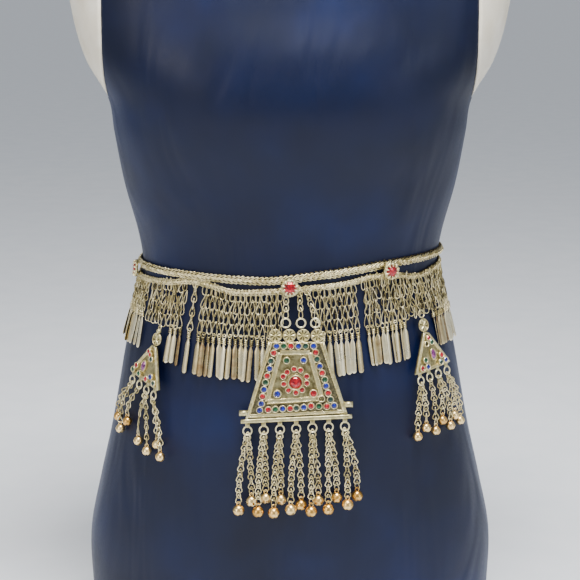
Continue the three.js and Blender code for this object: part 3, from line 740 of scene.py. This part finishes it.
def make_leaves():
    """One leaf on each column of a curtain, between the fringe's two ends."""
    for side, (start, end, low_start, low_end) in LEAVES.items():
        net = f"net_{side}"
        columns, _ = spaced_round(*NETS[net][:2], LINK_PITCH)
        columns = columns[(columns > start) & (columns < end)]
        low = low_start + (low_end - low_start) * (columns - start) / (end - start)
        # The blades behind the centre pendant lie closer to the form, clear of its plate.
        behind = np.abs(columns) < 20
        off = np.where(behind, 1.1, 2.1 + 0.5 * (np.arange(len(columns)) % 2))
        leaves = hang_leaves(columns, net_edge(net, columns), low, off, NETS[net][4])
        node = f"leaves_{side}"
        make_piece(f"{node}_blades", leaves, [WIRE, BLADE], "form_and_belt", [node])


def alternate(first, second, jitter):
    """Turns of a run of links: one angle and the other by turns, with a jitter."""

    def yaw(count):
        """The turn of each link."""
        return np.where(np.arange(count) % 2 == 0, first, second) + chance.normal(0, jitter, count)

    return yaw


def chain_of_links(path, pitch, outward, yaw, link=CHAIN_LINK, wide=1.0):
    """Links hung down a path, with the tints of handled metal."""
    axes, origins = hung_down(path, pitch, outward, yaw)
    tall = link.points[:, 1].max() - 0.76
    first, second = evenly(path, pitch)[0][:2]
    along = np.linalg.norm(second - first) * 1.5 / tall
    return placed(link, stretched(axes, wide, along), origins, chance.uniform(0.35, 0.85, len(origins)))


def make_strands():
    """The single strand beside the front curtain, and the strands that carry the centre pendant."""
    top = braid_height(LOWER, STRAND_ANGLE) + 1
    low = 283
    z = np.linspace(top, low, 12)
    path = form_point(STRAND_ANGLE, z, 2.1)
    outward = unit(form_point(STRAND_ANGLE, 300, 1) - form_point(STRAND_ANGLE, 300))
    links = chain_of_links(path, 6.2, outward, alternate(10, -50, 8))
    leaf = hang_leaves(np.array([STRAND_ANGLE]), low, STRAND_LOW, 2.2, 0.3)
    parts = joined([links, leaf])
    make_piece("strand_left_links", parts, [WIRE, BLADE], "form_and_belt", ["strand_left"])
    for name, (top_x, low_x) in CARRYING_STRANDS.items():
        angle = np.degrees(np.arcsin(top_x / smooth(FORM_LEVELS, np.array(318.0), HALF)))
        start = form_point(angle, braid_height(LOWER, angle) + 0.5, 2.4)
        end = in_centre([[low_x - CENTRE_ORIGIN[0], 19.4, PLATE_THICK]])[0]
        path = np.linspace(start, end, 10)
        links = chain_of_links(path, 5.4, np.array([0, -1.0, 0]), alternate(8, -40, 10))
        make_piece(f"{name}_links", links, [WIRE], "form_and_belt", [name])


# ---- Braids, studs and the fastening ----


def make_braids():
    """Loop-in-loop chain: two rows of long loops, leaning towards each other and lapping like ears of wheat."""
    t = 2 * np.pi * np.arange(14) / 14
    for which, name in ((UPPER, "upper"), (LOWER, "lower")):
        radius = BRAID_RADIUS[which]
        loop = np.stack([-1.75 * radius * np.cos(t), 0.36 * radius * np.sin(t), np.zeros(14)], 1)
        link = tube(loop, 0.2 * radius, 5, True)
        for stretch, (start, end) in STRETCHES.items():
            angles = np.linspace(start, end, 500)
            line = form_point(angles, braid_height(which, angles), radius + BRAID_CLEAR)
            length = np.concatenate([[0], np.cumsum(np.linalg.norm(np.diff(line, axis=0), axis=1))])
            count = int(length[-1] / (1.7 * radius))
            parts = []
            for row, lean in ((1, 24), (-1, -24)):
                at = np.interp((np.arange(count) + 0.5 + 0.25 * row) * length[-1] / count, length, angles)
                slope = np.gradient(braid_height(which, at)) / np.gradient(np.radians(at)) / 120
                roll = lean + np.degrees(np.arctan(slope)) + chance.normal(0, 3, count)
                height = braid_height(which, at) + row * 0.5 * radius + chance.normal(0, 0.08, count)
                axes, origins = on_form(at, height, radius + BRAID_CLEAR, roll, chance.normal(16, 4, count))
                parts.append(placed(link, axes, origins, chance.uniform(0.4, 0.85, count)))
                # The loops behind lie nearer the form and take the lowest tint: painted shade.
                back_axes, back = on_form(at, height, 0.42 * radius + BRAID_CLEAR, -roll, -16 * np.ones(count))
                parts.append(placed(link, back_axes, back, 0.0))
            node = f"{name}_braid_{stretch}"
            make_piece(f"{node}_loops", joined(parts), [WIRE], "form_and_belt", [node])


def make_studs():
    """A domed cup with a petalled rim, ten claws bent in over a faceted stone."""

    def petals(radius, angle, height):
        """The rim swells out in ten petals: r (1 + 0.035 cos 10θ)."""
        return radius * (1 + 0.035 * np.cos(10 * angle) * (radius > 6)), height

    cup = turned(
        [[2, 0.1], [6.6, 0], [7.3, 0.6], [7.3, 1.5], [6.7, 2.3], [5.9, 2.6], [5.2, 2.4], [4.9, 1.6], [2, 1.5]],
        40, relief=petals, finish=IS_CAST,
    )
    stone = turned([[3, 1.4], [4.8, 1.6], [4.8, 2.6], [3.4, 3.7], [1.4, 4.1]], 10, finish=IS_RED)
    claw_path = np.array([[6.5, 0, 1.6], [6.2, 0, 2.9], [5.2, 0, 3.5], [4.0, 0, 3.6]])
    claw = tube(curve(claw_path, 8), np.linspace(1.05, 0.45, 8), 6, across=(0, 1, 0), finish=IS_WIRE)
    claws = placed(claw, turned_by(2, np.arange(10) * 36 + 18), np.zeros((10, 3)), 0.8)
    stud = joined([cup, stone, claws])
    for name, (angle, z) in STUDS.items():
        axes, origin = on_form(np.array(float(angle)), z, STUD_OUT - 1.2)
        make_piece(f"{name}_cup", placed(stud, axes, origin), JEWELLED, "form_and_belt", [name])


def make_fastening():
    """A plain hook through a ring at the back, each on a plate that holds both braids."""
    axes, origin = on_form(np.array(180.0), 330.0, 0.0)
    mid = 3.1
    plate_corners = np.array([[-3, -5.5], [3, -5.5], [3, 5.5], [-3, 5.5]])
    end_plate = slab(plate_corners, 2.6, 0.5, mid - 1.3)
    ring_part = joined([
        ring(4.5, 0.8, 28, 8, (-3.4, 0, mid), IS_WIRE),
        placed(end_plate, np.eye(3), (-10.9, 0, 0)),
    ])
    path = [[7, 0, mid], [3.5, 0, mid + 0.8], [1, 0, mid + 2], [-1.6, 0, mid + 1.6], [-2.4, 0, mid]]
    path += [[-1.2, 0, mid - 1.6], [0.4, 0, mid - 1.95]]
    hook = tube(curve(path, 36), 0.8, 8, across=(0, 1, 0), finish=IS_WIRE)
    hook_part = joined([hook, placed(end_plate, np.eye(3), (9.6, 0, 0))])
    for name, part in (("back_ring", ring_part), ("back_hook", hook_part)):
        make_piece(f"{name}_smooth", placed(part, axes, origin), JEWELLED, "form_and_belt", [name])


# ---- Pendants ----


def in_centre(points):
    """Places in the centre pendant's own axes as places in the frame."""
    return np.asarray(points, float) @ centre_axes().T + CENTRE_ORIGIN


def centre_axes():
    """The centre pendant's axes: right, up along the plate, and out of its face."""
    lean = np.radians(CENTRE_LEAN)
    up = [0, np.sin(lean), np.cos(lean)]
    return np.array([[1, 0, 0], up, [0, -np.cos(lean), np.sin(lean)]]).T


def set_stones(rows, lift):
    """A rubbed-over cup and a faceted stone for each row of x, y, radius and finish; -1 is an empty cup."""
    cup = turned([[1, 0], [1, 0.75], [0.94, 0.92], [0.82, 0.88], [0.78, 0.3]], 14, True, IS_WIRE)
    # The floor under each stone takes the blackened ground: partly painted shade.
    floor = turned([[0.5, 0.1], [0.82, 0.1], [0.82, 0.3], [0.5, 0.3]], 10, finish=IS_GROUND_AND_SHADE)
    parts = []
    for finish in sorted({row[3] for row in rows}):
        places = np.array([row[:3] for row in rows if row[3] == finish])
        size = places[:, 2:, None] * np.eye(3)
        origins = np.column_stack([places[:, :2], np.full(len(places), lift)])
        parts.append(placed(cup, size, origins, chance.uniform(0.6, 1, len(places))))
        parts.append(placed(floor, size, origins))
        if finish >= 0:
            stone = turned([[0.5, 0.2], [0.8, 0.3], [0.8, 0.72], [0.56, 0.98], [0.2, 1.06]], 8, finish=finish)
            parts.append(placed(stone, size @ turned_by(2, chance.uniform(0, 45, len(places))), origins))
    return parts


def rosette(radius):
    """A disc with a wire rim and eight petals: height = 0.9 + 0.45 cos 8θ sin(π r / radius)."""

    def petals(rings, angle, height):
        """Raises the petals between the middle and the rim."""
        share = np.clip(rings / radius, 0, 1)
        inner = (share > 0.15) & (share < 0.86) & (height > 0.5)
        return rings, height + inner * 0.6 * np.cos(8 * angle) * np.sin(np.pi * share)

    shares = [0.3, 0.95, 0.98, 0.9, 0.8, 0.7, 0.6, 0.5, 0.4, 0.3, 0.2, 0.12]
    heights = [0, 0, 0.5, 0.8, 0.9, 0.95, 1.0, 1.05, 1.1, 1.15, 1.2, 1.25]
    disc = turned(np.column_stack([np.array(shares) * radius, heights]), 48, relief=petals, finish=IS_CAST)
    middle = disc.points[np.maximum(disc.faces, 0)].mean(1)
    share = np.hypot(middle[:, 0], middle[:, 1]) / radius
    # Faces low between the petals take the blackened ground: painted shade in the grooves.
    shaded_groove = np.cos(8 * np.arctan2(middle[:, 1], middle[:, 0])) < -0.3
    disc.finish[shaded_groove & (share > 0.2) & (share < 0.84) & (middle[:, 2] > 0.5)] = IS_GROUND_AND_SHADE
    rim = ridged_wire(circle(0.92 * radius, 60, 1.05), 0.5, 1.2, 2, 0.15, 6, True, finish=IS_WIRE)
    knob = turned([[0.3, 1.0], [0.85, 1.1], [0.85, 1.5], [0.5, 1.85], [0.15, 1.95]], 10, finish=IS_WIRE)
    return joined([disc, rim, knob])


def bell_template():
    """A round bell of radius 1: r = 1 + a raised seam at the waist - a slit across the lower half, and a loop."""
    latitude = np.radians(np.array([-84, -72, -58, -44, -30, -16, -6, 0, 6, 16, 30, 44, 58, 72, 84]))[:, None]
    around = 2 * np.pi * np.arange(20)[None] / 20
    swell = 1 + 0.05 * np.exp(-((np.degrees(latitude) / 5) ** 2))
    x = np.cos(latitude) * np.cos(around)
    slit = np.exp(-((x / 0.16) ** 2)) * (latitude < np.radians(-10))
    reach = swell * (1 - 0.16 * slit)
    rings = np.stack([reach * x, reach * np.cos(latitude) * np.sin(around), reach * np.sin(latitude)], -1)
    body = lofted(rings)
    # The loop stands in the x-z plane on top of the ball.
    loop = placed(ring(0.34, 0.1, 10, 5), turned_by(0, 90), (0, 0, 1.22))
    return joined([body, loop])


BELL = bell_template()
BELL_TOP = 1.3


def tassel(axes, origin, drop, ends, bell_radius, outward):
    """A strip folded over a ring, and from the ring a chain of links down to each bell."""
    strip_path = np.array([[0, 2.7, 0], [0, 4.5, 0], [0, drop + 0.4, 0]])
    section = round_section(12, 5) * [0.85, 1.8]
    strip = tube(strip_path, 1.0, section=section, finish=1)
    loop = ring(LOOP_RADIUS, 0.68, 18, 7)
    loop.tint[:] = 0.8
    parts = [placed(joined([strip, loop]), axes, origin)]
    start = np.array([0, -LOOP_RADIUS, 0]) @ axes.T + origin
    for end in ends:
        top = end + [0, 0, bell_radius * BELL_TOP]
        t = np.linspace(0, 1, 14)[:, None]
        aside = 1 - (1 - t) ** 2.0
        path = start + (top - start) * np.concatenate([aside, t, t], 1)
        turn = alternate(chance.uniform(-10, 25), chance.uniform(-60, -40), 12)
        parts.append(chain_of_links(path, 4.3, outward, turn, wide=1.12))
        spin = bell_radius * turned_by(2, chance.uniform(-35, 35))
        bell = placed(BELL, spin, end, chance.uniform(0.35, 0.9))
        bell.finish[:] = 2
        parts.append(bell)
    return joined(parts)


TASSEL_FINISHES = [WIRE, CAST, BRASS]

# Stones of the centre plate: x, y and colour, in lines round the border and then inside it.
BORDER_STONES = [
    (-15.8, -2.6, IS_BLUE), (-10.1, -2.6, IS_GREEN), (-4.3, -2.6, IS_RED), (1.8, -2.6, IS_BLUE),
    (7.4, -2.6, IS_DEEP), (13.9, -2.6, IS_BLUE),
    (-18, -8.2, IS_RED), (-20.2, -14.6, IS_DEEP), (-21.4, -20.7, IS_BLUE), (-23.3, -26.7, IS_RED),
    (-24.7, -32, IS_GREEN), (-25.9, -37.8, IS_BLUE), (-27, -43.4, IS_RED), (-28, -49.2, IS_BLUE),
    (-29.4, -54.8, IS_BLUE), (-22.5, -54.2, IS_RED), (-16.9, -53.9, IS_GREEN), (-11, -53.4, IS_BLUE),
    (-4.9, -53.3, IS_RED), (0.1, -52.8, IS_DEEP), (6, -52.3, IS_BLUE), (11.9, -51.2, IS_RED),
    (18.3, -51.4, IS_GREEN), (24.7, -51.4, IS_RED), (30.5, -50.9, IS_BLUE),
    (15.5, -7.7, IS_RED), (16.6, -13.2, IS_DEEP), (18.8, -18.9, IS_BLUE), (20.8, -24.3, IS_RED),
    (22.9, -29.7, IS_GREEN), (23.8, -34.9, IS_BLUE), (25.6, -40.6, IS_RED), (27.5, -45.9, IS_DEEP),
    (20.4, -45.3, -1),
]
INNER_STONES = [(-7.7, -14.3, IS_GREEN), (5.9, -14.1, IS_BLUE), (-15.1, -41.4, IS_BLUE), (13.9, -40.9, IS_RED)]
# Small red stones round the large one, from its middle.
BOSS_MIDDLE = np.array([-0.6, -32.0])
BOSS_STONES = [
    (-1.1, 10.8), (4.0, 9.9), (8.9, 4.8), (9.1, -0.6), (5.3, -6.1), (0.3, -8.3), (-5.7, -6.4), (-9.4, -1.3),
    (-9.9, 4.8), (-6.7, 8.3),
]


def strip_between(start, end, lift, wide):
    """A flat strip with a twisted wire along each edge."""
    start, end = np.array([*start, lift]), np.array([*end, lift])
    along = unit(end - start)
    beside = np.cross([0, 0, 1.0], along) * wide / 2
    flat = tube(evenly([start, end], 3)[0], 1.0, section=round_section(8, 4) * [0.45, wide / 2], finish=IS_CAST)
    wires = [
        ridged_wire([start + side * beside, end + side * beside], 0.62, 1.9, 2, finish=IS_WIRE)
        for side in (-1, 1)
    ]
    return joined([flat, *wires])


def bar_height(x):
    """The bar's middle under the plate's slanted lower edge."""
    (_, (left, left_y), (right, right_y), _) = PLATE_CORNERS
    return left_y + (right_y - left_y) * (x - left) / (right - left) - BAR_RADIUS - GAP


def make_centre_pendant():
    """The trapezoid plate: blackened ground that is partly painted shade, framed in strips and twisted wire, set
    with stones.
    """
    axes = centre_axes()

    def ride(name, part, finishes, nodes):
        """Places a part of the pendant in its axes."""
        make_piece(name, placed(part, axes, CENTRE_ORIGIN), finishes, "centre_pendant", nodes)

    top_left, low_left, low_right, top_right = PLATE_CORNERS
    parts = [slab(PLATE_CORNERS, PLATE_THICK, 0.4, 0, IS_GROUND_AND_SHADE)]
    for upper, lower, side in ((top_left, low_left, 1), (top_right, low_right, -1)):
        shift = np.array([side * 0.9, 0])
        edge = [[*(upper + shift), 2.3], [*(lower + shift), 2.3]]
        parts.append(tube(evenly(edge, 4)[0], 1.0, 8, section=round_section(10, 3), finish=IS_CAST))
        inner = np.array([side * 2.9, 0])
        parts.append(
            ridged_wire([[*(upper + inner), 2.3], [*(lower + inner + [0, 2]), 2.3]], 0.9, 2.2, 2, finish=IS_WIRE)
        )
    parts.append(ridged_wire([[*top_left, 2.2], [*top_right, 2.2]], 0.7, 1.3, 2, finish=IS_WIRE))
    parts.append(strip_between(low_left + [1, 2.2], low_right + [-1, 2.2], 2.3, 1.8))
    frame_corners = [(-13, -8.0), (-23.6, -48.0), (21.0, -45.2), (10.9, -8.0)]
    for a, b in zip(frame_corners, frame_corners[1:] + frame_corners[:1]):
        parts.append(strip_between(a, b, 2.4, 3.0))
    field = np.array([(-11.4, -9.8), (-21.2, -46.2), (18.7, -43.4), (9.4, -9.8)])
    panel = slab(field, 0.5, 0.15, PLATE_THICK - 0.05, IS_CAST)
    panel.tint[:] = 0.22
    parts.append(panel)
    stones = [(x, y, 2.85, finish) for x, y, finish in BORDER_STONES]
    stones += [(x, y, 3.3 if y < -40 else 2.9, finish) for x, y, finish in INNER_STONES]
    parts += set_stones(stones, PLATE_THICK + 0.1)
    ride("centre_plate_jewelled", joined(parts), JEWELLED, ["centre_plate"])

    cup = turned([[6.3, 0], [6.3, 3.0], [6.0, 3.4], [5.5, 3.4], [5.1, 2.8], [5.0, 1.0]], 32, True, IS_CAST)
    # The boss's floor takes the blackened ground: partly painted shade.
    base = turned([[2, 0], [6, 0], [6, 1], [2, 1]], 24, finish=IS_GROUND_AND_SHADE)
    ruby = turned([[3, 0.8], [5.0, 1], [5.0, 2.2], [3.6, 3.2], [1.6, 3.7]], 10, finish=IS_RED)
    wire = ridged_wire(circle(6.7866, 40, 0.55), 0.5, 1.2, 2, 0.2, 6, True, finish=IS_WIRE)
    middle = [*BOSS_MIDDLE, PLATE_THICK + 0.4]
    boss = [placed(joined([cup, base, ruby, wire]), np.eye(3), middle)]
    small = [(*(BOSS_MIDDLE + offset), 2.5, IS_RED) for offset in BOSS_STONES]
    boss += set_stones(small, PLATE_THICK + 0.4)
    ride("centre_boss_stones", joined(boss), JEWELLED, ["centre_boss"])

    left_x, right_x = low_left[0] - BAR_OVER, low_right[0] + BAR_OVER
    bar_path = [[x, bar_height(x), PLATE_MID] for x in (left_x, 0, right_x)]
    bar = [tube(evenly(bar_path, 4)[0], BAR_RADIUS, section=round_section(12, 4), finish=IS_CAST)]
    for x, y in ((-42.4, -57.4), (42.0, -50.2)):
        # A short rolled tube that sticks out of each side.
        roll = turned([[2.4, -3.6], [2.4, 3.6], [1.5, 3.6], [1.5, -3.6]], 18, True, IS_CAST)
        bar.append(placed(roll, turned_by(1, 90), (x, y, PLATE_MID)))
    ride("centre_bar_rod", joined(bar), JEWELLED, ["centre_bar"])

    disc = rosette(5.3)
    for i in range(4):
        turn = turned_by(2, chance.uniform(0, 45))
        part = placed(disc, turn, ((i - 1.5) * 11.2, 5.7, PLATE_THICK / 2))
        ride(f"centre_rosette_{i + 1}_petals", part, JEWELLED, [f"centre_rosette_{i + 1}"])
    for i, x in enumerate((-8.4, 3.8, 15.3)):
        part = ring(3.6, 0.75, 24, 8, (x, 15.8, PLATE_THICK), 0)
        part.tint[:] = 0.95
        ride(f"centre_ring_{i + 1}_wire", part, [WIRE], [f"centre_ring_{i + 1}"])
    for i in range(-3, 4):
        x = i * TASSEL_PITCH
        local = [x, bar_height(x) - BAR_RADIUS - GAP - TASSEL_DROP, PLATE_MID]
        rows = CENTRE_BELLS[CENTRE_BELLS[:, 0] == i]
        angle = np.degrees(np.arcsin(rows[:, 1] / smooth(FORM_LEVELS, rows[:, 2], HALF)))
        ends = form_point(angle, rows[:, 2], rows[:, 3])
        part = tassel(axes, in_centre([local])[0], TASSEL_DROP, ends, CENTRE_BELL, np.array([0, -1.0, 0]))
        name = f"centre_tassel_{i + 4}"
        make_piece(f"{name}_chains", part, TASSEL_FINISHES, "centre_pendant", [name])


HIP_STONES = {
    "left": [
        (-3.4, -6.4, 2.1, IS_RED), (-0.6, -8.2, 2.0, IS_RED), (2.6, -11.0, 2.3, IS_DEEP),
        (-14.0, -23.2, 2.3, IS_RED), (-17.0, -28.0, 2.3, IS_GREEN), (3.2, -28.4, 2.4, IS_RED),
        (8.6, -24.4, 2.6, IS_BLUE), (14.2, -27.6, 2.4, IS_DEEP), (-8.0, -28.2, 2.3, IS_GREEN),
    ],
    "right": [
        (0.6, -5.0, 2.2, IS_RED), (-3.0, -9.4, 2.3, -1), (3.2, -9.2, 2.3, IS_GREEN),
        (11.6, -22.6, 2.4, IS_RED), (15.6, -27.8, 2.4, IS_BLUE), (9.4, -28.0, 2.4, IS_DEEP),
        (-8.2, -22.0, 2.4, IS_GREEN), (-13.8, -27.6, 2.4, IS_RED), (-7.0, -27.8, 2.4, IS_BLUE),
    ],
}
OVAL_STONES = {"left": (-5.6, -20.4), "right": (3.2, -19.6)}


def make_hip_pendants():
    """The triangular plates: a rim of two wires, round stones, and one oval stone on end."""
    for side, spec in HIPS.items():
        angle, top, off, roll, yaw = spec["place"]
        axes, origin = on_form(np.array(float(angle)), float(top), off, roll, yaw)
        body = f"{side}_pendant"
        plate = slab(TRIANGLE_CORNERS, PLATE_THICK, 0.4, 0, IS_CAST)
        plate.tint[:] = 0.36
        parts = [plate]
        middle = np.array([0, -20.0])
        outline = TRIANGLE_CORNERS + 1.0 * unit(middle - TRIANGLE_CORNERS)
        inner = TRIANGLE_CORNERS + 3.4 * unit(middle - TRIANGLE_CORNERS)
        rim = np.column_stack([outline, np.full(4, 2.4)])
        parts.append(tube(evenly(rim, 3, True)[0], 1.05, 8, True, finish=IS_CAST))
        lace = np.column_stack([inner, np.full(4, 2.3)])
        parts.append(ridged_wire(lace, 0.65, 1.3, 2, closed=True, finish=IS_WIRE))
        stones = [(x, y, 1.15 * size, finish) for x, y, size, finish in HIP_STONES[side]]
        parts += set_stones(stones, PLATE_THICK)
        cup = placed(
            joined([
                turned([[1, 0], [1, 1.2], [0.92, 1.5], [0.8, 1.4], [0.76, 0.4]], 20, True, IS_WIRE),
                turned([[0.5, 0.3], [0.8, 0.5], [0.8, 1.3], [0.5, 2.1], [0.2, 2.3]], 10, finish=IS_PURPLE),
            ]),
            np.diag([3.4, 5.2, 1.0]),
            (*OVAL_STONES[side], PLATE_THICK),
        )
        parts.append(cup)
        node = f"{side}_plate"
        make_piece(f"{node}_jewelled", placed(joined(parts), axes, origin), JEWELLED, body, [node])
        above = [placed(rosette(5.6), np.eye(3), (0, 6, PLATE_THICK / 2))]
        if side == "left":
            ball = turned([[0.4, -2.1], [1.5, -1.6], [2.2, 0], [1.5, 1.6], [0.4, 2.1]], 16, finish=IS_CAST)
            above.append(placed(ball, np.eye(3), (0, 13.2, PLATE_THICK)))
            above.append(ring(1.6, 0.5, 14, 6, (0, 16.4, PLATE_THICK), IS_WIRE))
        else:
            hanger = ring(3.1, 0.7, 20, 8, (0, 15.7, PLATE_THICK), 0)
            piece = placed(hanger, axes, origin)
            make_piece("right_ring_wire", piece, [WIRE], body, ["right_ring"])
        node = f"{side}_rosette"
        make_piece(f"{node}_petals", placed(joined(above), axes, origin), JEWELLED, body, [node])
        for i in range(4):
            place = np.array([(i - 1.5) * 11, -31 - GAP - 6, PLATE_MID]) @ axes.T + origin
            rows = np.array([row[1:] for row in spec["bells"] if row[0] == i], float)
            ends = form_point(rows[:, 0], rows[:, 1], rows[:, 2])
            node = f"{side}_tassel_{i + 1}"
            part = tassel(axes, place, 6.0, ends, HIP_BELL, axes[:, 2])
            make_piece(f"{node}_chains", part, TASSEL_FINISHES, body, [node])


# ---- The room ----


def look_at(thing, target):
    """Turns a camera or light towards a place."""
    thing.rotation_euler = (Vector(target) - thing.location).to_track_quat("-Z", "Y").to_euler()


def add_light(name, place, size, power, colour):
    """A square soft light aimed at the belt."""
    data = bpy.data.lights.new(name, "AREA")
    data.size = size
    data.energy = power
    data.color = linear(colour)[:3]
    light = bpy.data.objects.new(name, data)
    light.location = place
    bpy.context.scene.collection.objects.link(light)
    look_at(light, (0, 0, 0.32))


def set_room():
    """A pale floor, even pale air, a large soft light above and two fills."""
    data = bpy.data.cameras.new("camera")
    data.lens = 89.2
    camera = bpy.data.objects.new("camera", data)
    camera.location = (0, -1.2227, 0.5599)
    bpy.context.scene.collection.objects.link(camera)
    look_at(camera, (0, 0, 0.3))
    bpy.context.scene.camera = camera

    material, tree, shader, place = new_finish("pale studio paper")
    fibre = add_node(tree, "ShaderNodeTexNoise", {"Vector": place, "Scale": scale_of(60), "Detail": 5.0})
    colour = add_node(
        tree, "ShaderNodeValToRGB", {"Fac": fibre.outputs["Fac"]}, stops=[(0.3, "#eceff3"), (0.7, "#f2f4f7")]
    )
    tree.links.new(colour.outputs["Color"], shader.inputs["Base Color"])
    shader.inputs["Roughness"].default_value = 0.9
    mesh = bpy.data.meshes.new("floor")
    corners = [(-90, -90, 0), (90, -90, 0), (90, 90, 0), (-90, 90, 0)]
    mesh.from_pydata(corners, [], [(0, 1, 2, 3)])
    mesh.materials.append(material)
    floor = bpy.data.objects.new("floor", mesh)
    bpy.context.scene.collection.objects.link(floor)

    world = bpy.data.worlds.new("studio air")
    world.use_nodes = True
    air = world.node_tree.nodes["Background"]
    air.inputs["Color"].default_value = linear("#e4e9f0")
    air.inputs["Strength"].default_value = 0.62
    bpy.context.scene.world = world
    add_light("overhead softbox", (0.1, -0.45, 1.7), 0.6, 52, "#ffffff")
    add_light("front fill left", (-1.3, -1.4, 1.0), 0.8, 12, "#fff8ee")
    add_light("front fill right", (1.4, -1.2, 0.8), 0.6, 6, "#f2f6ff")


set_room()
make_form()
make_braids()
make_nets()
make_leaves()
make_strands()
make_studs()
make_fastening()
make_centre_pendant()
make_hip_pendants()
